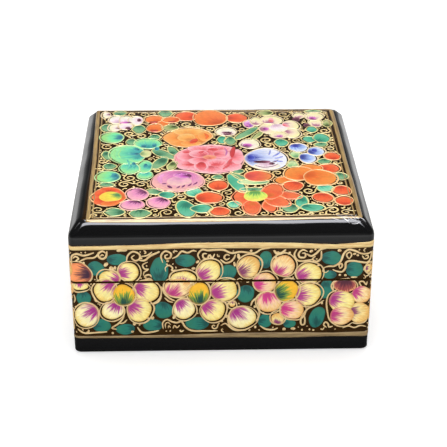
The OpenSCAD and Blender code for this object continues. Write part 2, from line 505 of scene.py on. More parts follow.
for paint, name, bright, dull, streak_mm in (
    ("gold_band", "brass_powder_border", "#ffe29c", "#d6a664", 1.0),
    ("gold_line", "brass_powder_scrolls", "#ffe4a8", "#cc9c60", 0.5),
    ("gold_border", "brass_powder_top_border", "#b49048", "#765c2c", 1.0),
    ("gold_shade", "thin_brass_powder", "#b89c6c", "#6c573a", 1.2),
    ("gold_top", "brass_powder_top", "#f4dc94", "#c09a4c", 0.5),
    ("leaf_line", "green_gold_line", "#f0e69c", "#b8b460", 0.5),
    ("cream_line", "cream_line", "#fbe8c0", "#e4c490", 0.5),
    ("mint_line", "mint_line", "#d4eea8", "#a0d48c", 0.5),
    ("orange_line", "orange_line", "#fbd490", "#f0a05c", 0.5),
    ("ember_line", "ember_line", "#fba064", "#f4804c", 0.5),
    ("pink_line", "pink_line", "#fbc8b4", "#e89c90", 0.5),
    # Pale grey-white streaks at the front right corner of the top.
    ("bare_gesso", "bare_gesso", "#c8c8ca", "#5c5b5c", 0.3),
):
    PAINTS[paint] = gold_powder(name, bright, dull, streak_mm)


def round_the_walls(marks, widths):
    """A line round all four walls. marks and widths are its heights and widths at even steps along the
    front, and each further wall has them three steps later, so that no two walls are alike. It starts and
    ends at the back right corner."""
    start, end = -2.5 * WALL_LENGTH, 1.5 * WALL_LENGTH
    way = np.linspace(start, end - SEAM_GAP, BAND_POINTS)
    spots = np.linspace(start, end, 4 * len(marks), endpoint=False)
    rolled = [np.concatenate([np.roll(row, 3 * side) for side in (2, 3, 0, 1)]) for row in (marks, widths)]
    height, width = (np.interp(way, spots, values, period=4 * WALL_LENGTH) for values in rolled)
    return np.stack([way, height], -1)[None], width[None]


for body, paint, marks, widths in (
    (
        "lid", "gold_band", (30.7, 30.8, 30.9, 31.2, 31.2, 31.1, 30.9, 30.5),
        (1.1, 1.1, 1.3, 1.5, 1.6, 1.6, 1.5, 1.2),
    ),
    (
        "base", "gold_shade", (4.8, 4.7, 4.7, 4.7, 4.8, 4.8, 4.7, 4.7),
        (0.6, 0.6, 0.7, 0.9, 1.2, 1.5, 1.6, 1.1),
    ),
):
    line, width = round_the_walls(marks, widths)
    band = ribbons(line, width, 0, paint, closed=True)
    piece(f"{body}_wall_border", [band], lay_on_wall, body)


def round_the_top(marks, widths):
    """A line round the top, drawn by hand. marks and widths give its distance from the middle and its
    width at even steps along the front, right, back and left sides in turn. A corner is where two sides
    cross."""
    share = np.linspace(-1, 1, TOP_SIDE_POINTS)
    at = np.linspace(-1, 1, len(marks[0]))
    out, wide = (np.array([np.interp(share, at, row) for row in rows]) for rows in (marks, widths))
    before, after = np.roll(out[:, -1], 1)[:, None], np.roll(out[:, 0], -1)[:, None]
    along = np.where(share < 0, share * before, share * after)
    turn = np.arange(4)[:, None] * np.pi / 2
    x, y = along * np.cos(turn) + out * np.sin(turn), along * np.sin(turn) - out * np.cos(turn)
    return np.stack([x[:, :-1], y[:, :-1]], -1).reshape(1, -1, 2), wide[:, :-1].reshape(1, -1)


TOP_BORDERS = (
    (
        [[34.6, 34.7, 34.7, 34.4, 34.1], [34.5, 34.5, 34.2, 34.2, 34.0], [33.8, 34.0, 34.0, 34.2, 34.6],
         [34.7, 34.1, 33.5, 33.3, 32.9]],
        [[1.2, 1.3, 1.3, 1.1, 1.0], [1.0, 1.2, 1.1, 1.2, 1.2], [0.5, 0.4, 0.5, 0.5, 0.7],
         [1.1, 1.2, 1.1, 1.0, 1.0]],
    ),
    (
        [[33.3, 33.2, 33.2, 33.0, 32.8], [33.1, 33.0, 32.9, 32.6, 32.5], [32.3, 32.7, 32.6, 32.9, 33.0],
         [33.4, 32.9, 32.4, 32.2, 31.9]],
        [[0.4, 0.3, 0.3, 0.4, 0.4], [0.3, 0.4, 0.3, 0.3, 0.4], [0.3, 0.4, 0.3, 0.3, 0.3],
         [0.4, 0.3, 0.3, 0.4, 0.4]],
    ),
)
top_border = [ribbons(*round_the_top(*marks), 0, "gold_border", closed=True) for marks in TOP_BORDERS]
piece("top_border", top_border, lay_on_top, "lid")


# Flowers and leaves of the walls: opaque water paints in gum, one loaded brush stroke after another.
# Each petal is a cream dab with a magenta flame drawn out from its root, and a gold line round it.
AROUND, LINE_AROUND = 30, 40
DOME_RINGS = np.array([0.3, 0.55, 0.76, 0.9, 0.97, 1.0, 1.0])
DOME_RISE = np.array([1.0, 0.97, 0.93, 0.86, 0.62, 0.2, -1.0])
DAB_T = 0.034
LAYERS = 6
STREAK = 0.34
LINE_GAP, LINE_SLIP, LINE_W, LINE_RAISED = 0.22, 0.28, 0.33, 0.1
POINTED = 0.14


def edge_reach(places, angle, pointed):
    """How far a dab's edge is from its middle at an angle: an ellipse's radius, swollen and drawn in
    by three waves of its own, as a hand leaves it, and drawn out at both ends where it is pointed."""
    half_u, half_v = places[:, 2:3], places[:, 3:4]
    phase = places[:, :1] * 1.7 + places[:, 1:2] * 2.3
    oval = half_u * half_v / np.hypot(half_v * np.cos(angle), half_u * np.sin(angle))
    kinds = ((0.5, 2, 1), (0.35, 3, 2), (0.2, 5, 3))
    waves = [high * np.sin(turns * angle + share * phase) for high, turns, share in kinds]
    ends = np.abs(np.cos(angle)) ** 14 - 0.25 * np.abs(np.sin(angle)) ** 4
    return oval * (1 + 0.07 * sum(waves)) * (1 + pointed * ends)


def turned(places, reach, angle):
    """Points at a reach and an angle from each dab's middle, turned as the dab is."""
    swing = angle + np.radians(places[:, 5:6])
    return places[:, None, :2] + reach[..., None] * heading(swing)


def dabs(places, layer, paint, pointed=0.0):
    """Dabs of paint, as low domes. A place is (u, v, half width, half height, root, turn), both in degrees.
    The strokes map is the fan of brush marks from behind the root: across them, and how far from the
    root they are, from 0 to 1."""
    places, layer = np.array(places, float), np.array(layer, float)
    number, rings = len(places), len(DOME_RINGS)
    angle = np.linspace(0, 2 * np.pi, AROUND, endpoint=False)[None]
    edge = turned(places, edge_reach(places, angle, pointed), angle)
    middle = places[:, None, None, :2]
    domes = middle + (edge[:, None] - middle) * DOME_RINGS[:, None, None]
    rise = np.where(DOME_RISE < 0, -SINK, layer[:, None] * LAYER + DAB_T * DOME_RISE)
    rise = np.broadcast_to(rise[..., None], domes.shape[:3])
    flat = np.concatenate([domes.reshape(number, -1, 2), np.repeat(places[:, None, :2], 2, 1)], 1)
    poles = np.stack([layer * LAYER + DAB_T, 0 * layer - SINK], -1)
    rise = np.concatenate([rise.reshape(number, -1), poles], 1)
    here, there = between_rings(rings, AROUND)
    quads = np.stack([here, here + AROUND, there + AROUND, there], -1).reshape(-1, 4)
    spokes = np.arange(AROUND)
    onward, bottom, each = (spokes + 1) % AROUND, (rings - 1) * AROUND, rings * AROUND + 2
    crown = np.stack([spokes, onward, 0 * spokes + each - 2], -1)
    under = np.stack([bottom + onward, bottom + spokes, 0 * spokes + each - 1], -1)
    shift = np.arange(number)[:, None, None] * each
    faces = [(block + shift).reshape(-1, block.shape[1]) for block in (quads, crown, under)]
    towards = heading(np.radians(places[:, 4]))
    size = np.sqrt(places[:, 2] * places[:, 3])
    reach = 0.78 / np.hypot(towards[:, 0] / places[:, 2], towards[:, 1] / places[:, 3])
    offset = flat - (places[:, :2] + towards * reach[:, None])[:, None]
    along = -(offset * towards[:, None]).sum(-1)
    aside = offset[..., 0] * towards[:, None, 1] - offset[..., 1] * towards[:, None, 0]
    fan = np.arctan2(aside, along + size[:, None]) * 2 * size[:, None] / STREAK
    fan = fan + places[:, :1] * 5 + places[:, 1:2] * 9
    far = np.hypot(along, aside) / (reach + size)[:, None]
    rim = np.concatenate([np.repeat(DOME_RINGS, AROUND), [0, 0]])
    uv = np.stack([fan, far], -1).reshape(-1, 2)
    points = np.concatenate([flat, rise[..., None]], -1).reshape(-1, 3)
    return Patch(points, faces, uv, np.tile(rim, number), paint)


def rings_round(places, layer, gap, width, paint, pointed):
    """Gold lines round dabs: the dab's own edge a gap further out, at a width that swells and thins.
    The hand slips away from the root by LINE_SLIP, so dark ground shows as a crescent on that side."""
    places, layer = np.array(places, float), np.array(layer, float)
    angle = np.linspace(0, 2 * np.pi, LINE_AROUND, endpoint=False)[None]
    wander = 0.05 * np.sin(3 * angle + places[:, :1] * 3 + places[:, 1:2])
    reach = edge_reach(places, angle, pointed) + gap + width / 2 + wander
    swell, shake = np.sin(angle + places[:, :1] * 2), np.sin(4 * angle + places[:, 1:2] * 5)
    press = width * (1 + 0.28 * swell + 0.15 * shake)
    slip = -LINE_SLIP * heading(np.radians(places[:, 4]))[:, None]
    return ribbons(turned(places, reach, angle) + slip, press, layer * LAYER, paint, closed=True)


def layers_of(rows):
    """The layer of each dab: one above the highest of the earlier dabs that it laps over."""
    spots = np.array([row[1:7] for row in rows], float)
    levels = np.zeros(len(rows))
    for i in range(1, len(rows)):
        apart = spots[:i, :2] - spots[i, :2]
        gap = np.linalg.norm(apart, axis=1) + 1e-9
        way = np.abs(apart / gap[:, None])
        halves = (spots[:i, 2:4], spots[i, 2:4])
        reach = sum(1 / np.hypot(way[:, 0] / half[..., 0], way[:, 1] / half[..., 1]) for half in halves)
        lapped = levels[:i][gap < reach + 0.1]
        levels[i] = min(lapped.max() + 1, LAYERS - 1) if len(lapped) else 0
    return levels


def gouache(name, root, body, tip, edge, reach, feather, blend):
    """Opaque water paint in gum under lacquer: satin, with hair-fine streaks from the root of each stroke,
    where a second colour was pulled out into the first, and a thin edge of another tint where it pooled."""
    made, tree, shader = finish_material(name)
    fan, far, _ = add(tree, "SeparateXYZ", {0: add(tree, "UVMap", uv_map="strokes")}).node.outputs
    hairs = noise(tree, add(tree, "CombineXYZ", {0: fan, 1: times(tree, far, 1.3)}), 1.0, 3.0, 0.6)
    pull = ramp(tree, hairs, 0.36, 0.64, -feather, feather)
    drawn = add(tree, "Math", {0: far, 1: pull}, operation="ADD")
    out = ramp(tree, drawn, reach * 0.45, reach * 1.2, kind="SMOOTHSTEP")
    end = ramp(tree, drawn, reach * 1.2, reach * 1.2 + blend, kind="SMOOTHSTEP")
    colour = mix(tree, end, mix(tree, out, root, body), tip)
    clouds = noise(tree, add(tree, "TexCoord", out="Object"), 1 / (1.3 * MM), 4.0)
    pooled = ramp(tree, far, 0.0, reach * 0.8, 0.72, 1.0)
    value = times(tree, ramp(tree, clouds, 0.25, 0.75, 0.9, 1.1), pooled)
    tinted = add(tree, "HueSaturation", {"Color": colour, "Value": value})
    rim = add(tree, "Attribute", out="Fac", attribute_name="rim")
    plug(tree, shader, {
        "Base Color": mix(tree, ramp(tree, rim, 0.82, 1.0, 0.0, 0.6), tinted, edge),
        "Roughness": ramp(tree, hairs, low=0.4, high=0.6),
        "Normal": relief(tree, hairs, 0.5, 0.02),
        "Coat Weight": 1.0,
        "Coat Roughness": 0.06,
        "Specular IOR Level": 0.05,
    })
    return made


for name, *colours, reach, feather, blend in (
    ("cream", "#bc3e90", "#fbec9c", "#f4d470", "#cc984c", 0.5, 0.22, 0.5),
    ("ivory", "#b43890", "#fcf2bc", "#f6de84", "#d0a45c", 0.5, 0.22, 0.5),
    ("peach", "#cc4088", "#fbe0a4", "#eeb468", "#d08c54", 0.48, 0.22, 0.4),
    ("rose", "#dc3e8c", "#fad4a8", "#f2c474", "#d08454", 0.5, 0.22, 0.35),
    ("shell", "#944470", "#f8e098", "#eab864", "#cc8c50", 0.42, 0.2, 0.35),
    ("coral", "#44243c", "#fa9860", "#fba660", "#c8603c", 0.46, 0.2, 0.5),
    ("maroon", "#5c2838", "#a04848", "#f2a870", "#f0a878", 0.62, 0.16, 0.2),
    ("heart", "#1c5444", "#8ca83c", "#fac032", "#c08c34", 0.42, 0.24, 0.16),
    ("wall_leaf", "#1c5854", "#24786a", "#2c7a64", "#206058", 0.36, 0.22, 0.5),
):
    PAINTS[name] = gouache(name + "_gouache", *colours, reach, feather, blend)


def dab_rows(*runs):
    """Rows of dabs, from runs of one paint. Each place becomes (paint, u, v, half width, half height, root,
    turn), where a turn that isn't given is 0."""
    return [(paint, *place, *[0][: 6 - len(place)]) for paint, *places in runs for place in places]


# A place is how far along the wall and up it, half the width and height, where the root lies as seen
# from the middle, and how far the dab is turned, both in degrees.
WALL_LEAVES = dab_rows(
    ("wall_leaf", (-26, 27.5, 2.5, 1.6, 180), (-31.3, 25, 2.2, 2.0, 180), (-34.7, 16.5, 1.9, 2.0, 90),
     (-30.5, 8.2, 2.4, 1.9, 180), (-24.5, 7, 2.5, 1.6, 0), (-17.5, 8.2, 2.4, 1.8, 0),
     (-14.7, 12.6, 2.4, 2.4, 90), (-15.5, 24.3, 3.8, 2.2, 270, 90), (-9, 27, 2.5, 1.8, 180),
     (-6.2, 8.5, 3.0, 1.9, 0), (1.5, 23.5, 2.2, 2.2, 270), (10.9, 27, 1.7, 2.4, 270),
     (27.3, 27.3, 2.4, 2.0, 180), (27, 22.5, 1.8, 1.2, 0), (33.2, 24, 2.2, 2.2, 180),
     (6, 17.2, 2.3, 2.5, 90), (26.3, 18.5, 3.0, 1.5, 90, 80), (24.3, 10, 3.1, 2.0, 270, 75),
     (11, 9, 1.7, 2.1, 180), (17.3, 8.2, 1.7, 1.3, 180)),
)
WALL_PETALS = dab_rows(
    ("coral", (-36.2, 23.4, 4.0, 3.1, 0)), ("cream", (-35.5, 19.9, 2.2, 1.0, 90)),
    ("ivory", (-34.2, 11.4, 3.1, 3.4, 35)),
    ("cream", (-23.2, 23.9, 2.5, 2.7, 190), (-28, 22.2, 2.6, 2.0, -20), (-29.2, 18.7, 2.8, 3.2, 50),
     (-18.9, 18.2, 3.2, 3.1, 150)),
    ("ivory", (-27.6, 12.6, 2.7, 2.6, 60)), ("cream", (-20.8, 12.7, 3.0, 3.4, 150)),
    ("heart", (-24.6, 17.2, 2.8, 3.0, 270)), ("cream", (-9.5, 21.7, 3.1, 2.2, 250)),
    ("peach", (-11.0, 19.2, 3.4, 2.7, 230)),
    ("cream", (-3.2, 23.9, 3.0, 3.0, 215), (0.6, 18.3, 3.4, 3.1, 200)),
    ("ivory", (-9.5, 12.9, 2.6, 3.1, 120)), ("cream", (-2.2, 12.4, 3.1, 3.1, 140)),
    ("heart", (-5.7, 17.4, 2.7, 3.1, 275)), ("shell", (6.7, 25, 2.8, 3.1, 215)),
    ("ivory", (5.2, 10.2, 3.4, 3.3, 130)), ("shell", (2.7, 14.2, 0.8, 0.8, 90), (14.3, 9.7, 1.6, 1.7, 270)),
    ("peach", (15.4, 25.2, 2.8, 3.1, 235)), ("rose", (10.8, 20.4, 2.8, 2.9, 200)),
    ("cream", (21.8, 22.9, 3.1, 3.0, 205)), ("rose", (12.0, 14.7, 3.2, 2.9, 100)),
    ("cream", (21.8, 16.8, 3.1, 3.3, 185)), ("rose", (17.9, 12.3, 2.9, 2.8, 170)),
    ("heart", (16.3, 18, 2.9, 3.1, 205)), ("maroon", (31, 19.3, 2.9, 1.9, 90)),
    ("shell", (36.8, 24.3, 0.9, 1.2, 180)),
)
# These petals run into one another, with no line between them.
WALL_BARE_PETALS = dab_rows(
    ("peach", (35.4, 16.6, 2.7, 2.4, 150)), ("shell", (35.2, 11.2, 2.8, 3.0, 170)),
    ("cream", (30.4, 14.6, 3.3, 3.2, 160)), ("peach", (30.6, 10.4, 3.0, 2.8, 175)),
)


def place_on_side(marks, side):
    """The place of each mark of the front on another wall, where the painter's same flowers run
    backwards, upside down, or both."""
    place = np.array([mark[:2] for mark in marks], float)
    if side in (1, 2):
        place[:, 0] *= -1
    if side in (2, 3):
        place[:, 1] = BAND_LOW + BAND_HIGH - place[:, 1]
    place[:, 0] += (side if side < 3 else -1) * WALL_LENGTH
    return place


def on_side(rows, side):
    """The rows of dabs of the front, moved to another wall and mirrored with their places."""
    moved = []
    places = place_on_side([row[1:] for row in rows], side)
    for (paint, *_, half_u, half_v, root, turn), place in zip(rows, places):
        if side in (1, 2):
            root, turn = 180 - root, -turn
        if side in (2, 3):
            root, turn = -root, -turn
        moved.append((paint, *place, half_u, half_v, root, turn))
    return moved


def by_paint(rows, levels, pointed_paints):
    """The places and layers of rows of dabs, a paint at a time, and how pointed its dabs are."""
    for paint in sorted({row[0] for row in rows}):
        chosen = [i for i, row in enumerate(rows) if row[0] == paint]
        pointed = POINTED if paint in pointed_paints else 0.0
        yield [rows[i][1:] for i in chosen], levels[chosen], paint, pointed


def painted(rows, levels, pointed_paints=()):
    """Dabs, as one patch for each paint."""
    return [dabs(*run) for run in by_paint(rows, levels, pointed_paints)]


def outlined(rows, levels, gap, width, line_paint, pointed_paints=()):
    """The lines round dabs, a little above them."""
    return [
        rings_round(places, layer + LINE_RAISED, gap, width, line_paint, pointed)
        for places, layer, _, pointed in by_paint(rows, levels, pointed_paints)
    ]


# Lines drawn by hand between the flowers: their width, and the marks that the brush went through.
WALL_STROKES = [
    (0.55, (-37.3, 26), (-37.3, 28.2), (-36, 29.2), (-34, 28.7), (-31.5, 29.5)),
    (0.5, (-35.3, 27), (-33.5, 27.9), (-31.5, 28.1), (-30.4, 29.2)),
    (0.5, (-36.9, 27.9), (-36.1, 28.5), (-35.4, 27.8), (-36.2, 27.2)),
    (0.6, (-28.6, 29.3), (-29.4, 29.9), (-30.4, 29.3), (-30.4, 28.3), (-29.5, 27.7), (-28.6, 28.3),
     (-28.3, 29.9)),
    (0.9, (-25.9, 29.9), (-24.8, 30.2), (-23.3, 30.1)),
    (0.5, (-23.6, 26.6), (-23.3, 28.4), (-22, 29.7), (-20.4, 29), (-20.3, 27.7), (-21.4, 27.1), (-22.3, 28),
     (-21.5, 28.7)),
    (0.6, (-20.4, 27.2), (-19, 27.2), (-17.7, 28.4), (-15.3, 29.6)),
    (0.4, (-20, 28.3), (-18.6, 28.5), (-17.2, 29.5)),
    (0.5, (-14.6, 26.4), (-15, 28.4), (-14, 29.7), (-12.6, 29.1), (-12.7, 27.9), (-13.8, 27.6), (-14, 28.5),
     (-13.3, 28.7)),
    (0.5, (-12.3, 27.6), (-11, 28.3), (-9.9, 29.6), (-8.4, 29.2), (-7.2, 29.8), (-6.2, 29.6)),
    (0.55, (-5.3, 27), (-5.9, 28.6), (-4.9, 30), (-3.4, 29.8), (-1.8, 29.9), (0.4, 29.9), (2.4, 29.0),
     (4.8, 29.3), (8, 28.9), (9.8, 30), (12, 30.3)),
    (0.5, (-3.6, 28.9), (-4.6, 28.8), (-4.5, 27.7), (-3.6, 27.5), (-3, 28.6), (-2.4, 27.6), (-1.7, 28.8)),
    (0.45, (2, 28.3), (1.2, 28.6), (0.6, 27.8), (1.2, 27.1), (2, 27.6)),
    (0.5, (-0.3, 27.2), (0.9, 26.2), (2.3, 26.6), (3.1, 27.6), (3.4, 28.6)),
    (0.75, (12.9, 29.7), (13.8, 28.6), (15, 28.9), (15.9, 29.9)),
    (0.5, (18.6, 29.9), (18, 28.4), (18.7, 26.9), (20, 26.5), (22.6, 26.9)),
    (0.5, (21.3, 29.2), (20.1, 29.7), (19.1, 28.7), (19.4, 27.6), (20.7, 27.6), (20.7, 28.7), (19.9, 28.7)),
    (0.55, (21, 28.6), (22.2, 27.9), (23.4, 28.6), (24.4, 29.7), (26, 30.1)),
    (0.5, (23.3, 27.9), (22.6, 27), (23.7, 26.3), (24.7, 27.3), (24.7, 29.4)),
    (0.55, (25.6, 24.6), (26.7, 24.9), (28.2, 25), (29.6, 26.3), (30.3, 28.4), (31.4, 29.6), (33, 29.3),
     (34.6, 28.5), (36, 28.4), (37.4, 28.9)),
    (0.55, (37.4, 28.9), (37.2, 27), (36.2, 25.9), (34.4, 26.1), (32.5, 26.4), (31, 26), (30.9, 24.4),
     (30.1, 23.3), (28.7, 23.5), (27.7, 24)),
    (0.4, (25.6, 24.6), (25.3, 23.6), (26, 23.1), (26.7, 23.7)),
    (0.4, (31.7, 26.9), (31, 28.1), (31.7, 28.9), (32.3, 28.1), (31.7, 26.9)),
    (0.4, (34.9, 27.9), (35.5, 27), (36.4, 27.2), (36.3, 28), (35.7, 27.7)),
    (0.45, (29.4, 24.4), (29.3, 25.4), (30, 25.6), (30, 24.7), (29.4, 24.2)),
    (0.45, (-13.9, 23.9), (-14, 25), (-13.1, 25.7), (-12.2, 24.9), (-12.5, 24.2), (-11.4, 24.2),
     (-10, 24.3)),
    (0.4, (-18.3, 26.7), (-19.6, 25.9), (-19.2, 24.7), (-18.2, 24.6), (-19.3, 23.8), (-19.5, 22.8)),
    (0.5, (-18.7, 21.9), (-19.2, 22.6), (-18, 23), (-17.5, 22.3)),
    (0.5, (-15.1, 19.6), (-14.4, 17.6), (-13, 16), (-11.7, 15.3)),
    (0.4, (-14.4, 16.3), (-13.3, 15.2), (-12.2, 14.9)), (0.5, (-15.1, 17), (-15.9, 15.2), (-17.6, 14.3)),
    (0.5, (7.4, 13.6), (7.8, 14.9), (8.7, 15.8), (9.4, 16.2)),
    (0.5, (9.0, 14.6), (9.6, 12.4), (9.4, 10.2), (8.7, 8.9)),
    (0.5, (25.9, 15), (24.2, 13.8), (22, 12.6), (20.9, 11), (20.2, 9.4), (20.4, 7.8), (21.2, 8),
     (21.2, 9.9), (20.8, 11)),
    (0.45, (26.9, 6.8), (26.1, 7.6), (26.6, 8.5), (27.3, 7.8), (27.5, 6.9), (28.5, 7.2)),
    (0.5, (-36.7, 7.3), (-35, 6), (-32, 6.1), (-29.2, 6.3)),
    (0.45, (-24.6, 12), (-25.1, 10.2), (-26.4, 8.6), (-28, 7.4), (-26.7, 7)),
    (0.4, (-26.3, 8.8), (-25, 8.9), (-24, 9.9)), (0.5, (-21.5, 7.6), (-20.3, 6), (-18, 6), (-16, 6.5)),
    (0.5, (-14.9, 7), (-15, 8.8), (-13.9, 9.8), (-12.6, 9.1), (-11.4, 8.8), (-10.2, 9.1), (-9.2, 7.4),
     (-7.4, 6.3), (-4, 6.2), (-1, 6.2)),
    (0.3, (-14.3, 7.2), (-14.3, 8.5), (-13.6, 8.9), (-13, 8.2)),
    (0.3, (-13.6, 7.2), (-13.5, 8), (-13, 7.3)), (0.4, (-12.4, 7), (-12, 8), (-11.4, 7.3), (-10.7, 8)),
    (0.45, (-0.2, 7.8), (1, 8.4), (2.2, 7.2), (3.6, 6.3), (6.2, 6.3)),
    (0.5, (9.8, 7.6), (11.4, 6.5), (13.4, 6.4), (14.4, 6.9)),
    (0.4, (31, 6.6), (32.5, 7.2), (34, 6.7), (35.6, 7.3), (37.2, 6.9)),
    (0.4, (-37.4, 15), (-36.9, 16.2), (-37.3, 17.4)), (0.45, (-19.4, 21.5), (-18.3, 21.9), (-17.3, 21.6)),
    (0.4, (35.2, 19), (34.6, 20.2), (35.6, 20.4), (36.4, 19.4), (36.6, 20.4)),
    (0.45, (29.4, 18.2), (27.2, 16.9), (26.6, 14.6), (26.9, 11.6), (27.6, 9.1), (29.6, 7.3), (31.8, 7.1),
     (33.4, 8.2)),
    (0.4, (33.4, 8.2), (35, 7.9), (36.6, 8.4), (37.6, 9.4)), (0.35, (27.9, 17.6), (28.2, 19.2), (28, 20.4)),
    (0.4, (11.6, 17.9), (12.9, 17.4), (13.7, 18.4), (14.6, 19.4)),
    (0.4, (13.9, 14.4), (14.6, 13.4), (14.2, 12.4)),
]
# Dots of gold between the lines: their place, half their width and height, and their turn.
WALL_DABS_OF_GOLD = [
    (-28.7, 26.1, 0.7, 0.45, 50), (-27.4, 24.7, 0.6, 0.9, 0), (-26.5, 25.1, 0.35, 0.5, 0),
    (-20.1, 27.8, 0.5, 0.3, 0), (-13.4, 26.9, 0.35, 0.3, 0), (-13.6, 26, 0.25, 0.25, 0),
    (-6, 26.6, 0.5, 0.35, 40), (-7, 24.7, 0.5, 0.35, 0), (4.2, 28, 0.4, 0.8, 10), (7.3, 29.6, 0.35, 0.3, 0),
    (3.2, 25.8, 0.3, 0.7, 10), (16.8, 28.8, 0.3, 0.5, -20), (13.4, 27.7, 0.35, 0.5, 0),
    (22.2, 29.3, 0.5, 0.35, 30), (23.2, 29.8, 0.3, 0.25, 0), (29.2, 29.4, 0.5, 0.4, 0),
    (33, 28.4, 0.4, 0.3, 20), (33.8, 28, 0.3, 0.3, 0), (29.6, 22.4, 0.3, 0.3, 0), (31, 22.3, 0.35, 0.3, 0),
    (33.2, 21.7, 0.9, 0.22, 0), (16, 6.5, 0.45, 0.4, 0), (18.3, 6.6, 0.6, 0.4, 0),
    (-22.8, 6.3, 0.4, 0.35, 0), (-22.2, 8.6, 0.4, 0.5, 0), (-17.5, 10.3, 0.5, 0.35, 60),
    (-18.6, 10.2, 0.3, 0.3, 0), (-31.7, 15.8, 0.35, 0.7, 30), (-27.8, 5.9, 0.3, 0.3, 0),
    (8.4, 13.3, 0.3, 0.4, 0), (10.5, 11.4, 0.3, 0.3, 0), (-12, 10.7, 0.4, 0.8, -20),
    (1.2, 10.6, 0.4, 0.5, 0), (24.2, 25.3, 0.4, 0.3, 0), (35.7, 24.3, 0.25, 0.7, -15),
    (20.6, 6.2, 0.25, 0.3, 0), (22.5, 6.3, 0.25, 0.3, 0), (23.5, 6.1, 0.3, 0.25, 0),
    (25.4, 14.2, 0.3, 0.4, 20), (-34.2, 26.6, 0.3, 0.4, 0), (-36.9, 13.8, 0.3, 0.3, 0),
    (-22.9, 15.2, 0.3, 0.25, 0), (-32.2, 13.4, 0.3, 0.3, 0), (8.6, 7.2, 0.3, 0.4, 0),
]

wall_rows, wall_lines = [], []
for side, side_name in enumerate(("front", "right", "back", "left")):
    leaves, petals, bare = (on_side(rows, side) for rows in (WALL_LEAVES, WALL_PETALS, WALL_BARE_PETALS))
    specks = np.array(WALL_DABS_OF_GOLD)
    specks = np.column_stack([place_on_side(specks, side), specks[:, 2:4], 0 * specks[:, 0], specks[:, 4]])
    ends = np.cumsum([len(leaves), len(petals)])
    leaf_levels, petal_levels, bare_levels = np.split(layers_of(leaves + petals + bare), ends)
    wall_rows += leaves + petals + bare + [("gold_line", *speck) for speck in specks]
    leaf_parts = painted(leaves, leaf_levels)
    petal_parts = painted(petals, petal_levels) + painted(bare, bare_levels)
    petal_lines = outlined(petals, petal_levels, LINE_GAP, LINE_W, "gold_line")
    drawn = [
        stroke(place_on_side(marks, side), width, "gold_line", press=0.25) for width, *marks in WALL_STROKES
    ]
    wall_lines += drawn
    drawn.append(dabs(specks, np.zeros(len(specks)), "gold_line"))
    for body, keep in (("lid", 1), ("base", -1)):
        piece(f"{side_name}_leaves_{body}", leaf_parts, lay_on_wall, body, keep)
        piece(f"{side_name}_petals_{body}", petal_parts, lay_on_wall, body, keep)
        piece(f"{side_name}_outlines_{body}", petal_lines, lay_on_wall, body, keep)
        piece(f"{side_name}_strokes_{body}", drawn, lay_on_wall, body, keep)


# Flowers of the top: the same paints and brushes, a rose in the middle and blooms of every colour round it.
# A bloom is a round of body colour, with soft petals and licks of a second colour laid into it.
TOP_FEATHER, TOP_BLEND = 0.16, 0.4
for name, root, body, tip, reach in (
    ("rose_pink", "#ee5a5c", "#ee7c86", "#fba4b0", 0.25),
    ("rose_red", "#dc3c40", "#e8565c", "#f4868c", 0.5),
    ("rose_heart", "#ee7058", "#f29070", "#f6a880", 0.4),
    ("rose_light", "#ec646c", "#f88e98", "#fdb8c0", 0.4),
    ("mauve_bloom", "#e07cbc", "#f0a2c0", "#f7b8ac", 0.45),
    ("mauve_light", "#f2a8cc", "#f4bcc4", "#f6ccbc", 0.5),
    ("orchid", "#7c2464", "#d465c4", "#f0a0d0", 0.45),
    ("orange_rose", "#f68e3c", "#fb9e46", "#fbae5c", 0.4),
    ("orange_soft", "#f89c48", "#fcb056", "#fdc270", 0.4),
    ("vermilion", "#dc4a24", "#f45a28", "#f4703c", 0.4),
    ("orange", "#ec6424", "#f67a30", "#f8883c", 0.4),
    ("poppy", "#ee6820", "#f68430", "#f8943c", 0.4),
    ("coral_disc", "#e85448", "#ee6844", "#f08844", 0.5),
    ("teal_bloom", "#3cacaa", "#6cdcb0", "#a0ec9c", 0.42),
    ("deep_teal", "#28788c", "#3c9ca4", "#6cd0b8", 0.55),
    ("mint_bud", "#34849c", "#78eaa8", "#a4e488", 0.4),
    ("blue_bloom", "#3040b8", "#c4d0f6", "#f2f2fc", 0.3),
    ("indigo", "#2a34a4", "#4a56c0", "#9aa6ea", 0.6),
    ("blue_petal", "#3c4aa8", "#a4bef4", "#e8effc", 0.5),
    ("cream_blossom", "#c07a96", "#fbe6c8", "#fbf2b0", 0.42),
    ("white_blossom", "#7c2c54", "#fdeee4", "#fbf4cc", 0.36),
    ("pale_blossom", "#f0c8dc", "#fdf0f0", "#fbf6d8", 0.5),
    ("lilac_petal", "#a452b4", "#e49cdc", "#f4dcec", 0.55),
    ("maroon_spot", "#4c1830", "#703248", "#a4607c", 0.6),
    ("red_flower", "#f07430", "#f06036", "#f47440", 0.3),
    ("yellow_heart", "#6cb058", "#d8f266", "#fbe868", 0.45),
    ("yellow_bloom", "#5ca060", "#f6e64c", "#fbd548", 0.36),
    ("straw_heart", "#98b878", "#d6dc98", "#e8e2a4", 0.4),
    ("pink_bud", "#8c3a74", "#f49ac8", "#fbb2c2", 0.4),
    ("teal_leaf", "#2a8a70", "#4cb48c", "#64c09c", 0.4),
    ("green_leaf", "#347050", "#62a276", "#86b684", 0.4),
    ("mint_leaf", "#4aa888", "#6cd2ac", "#98e4b8", 0.4),
    ("pale_leaf", "#7cb07a", "#a8d492", "#d4e8ac", 0.4),
    ("olive_leaf", "#4e5c2c", "#8ea45e", "#bcc080", 0.4),
):
    PAINTS[name] = gouache(name + "_gouache", root, body, tip, tip, reach, TOP_FEATHER, TOP_BLEND)

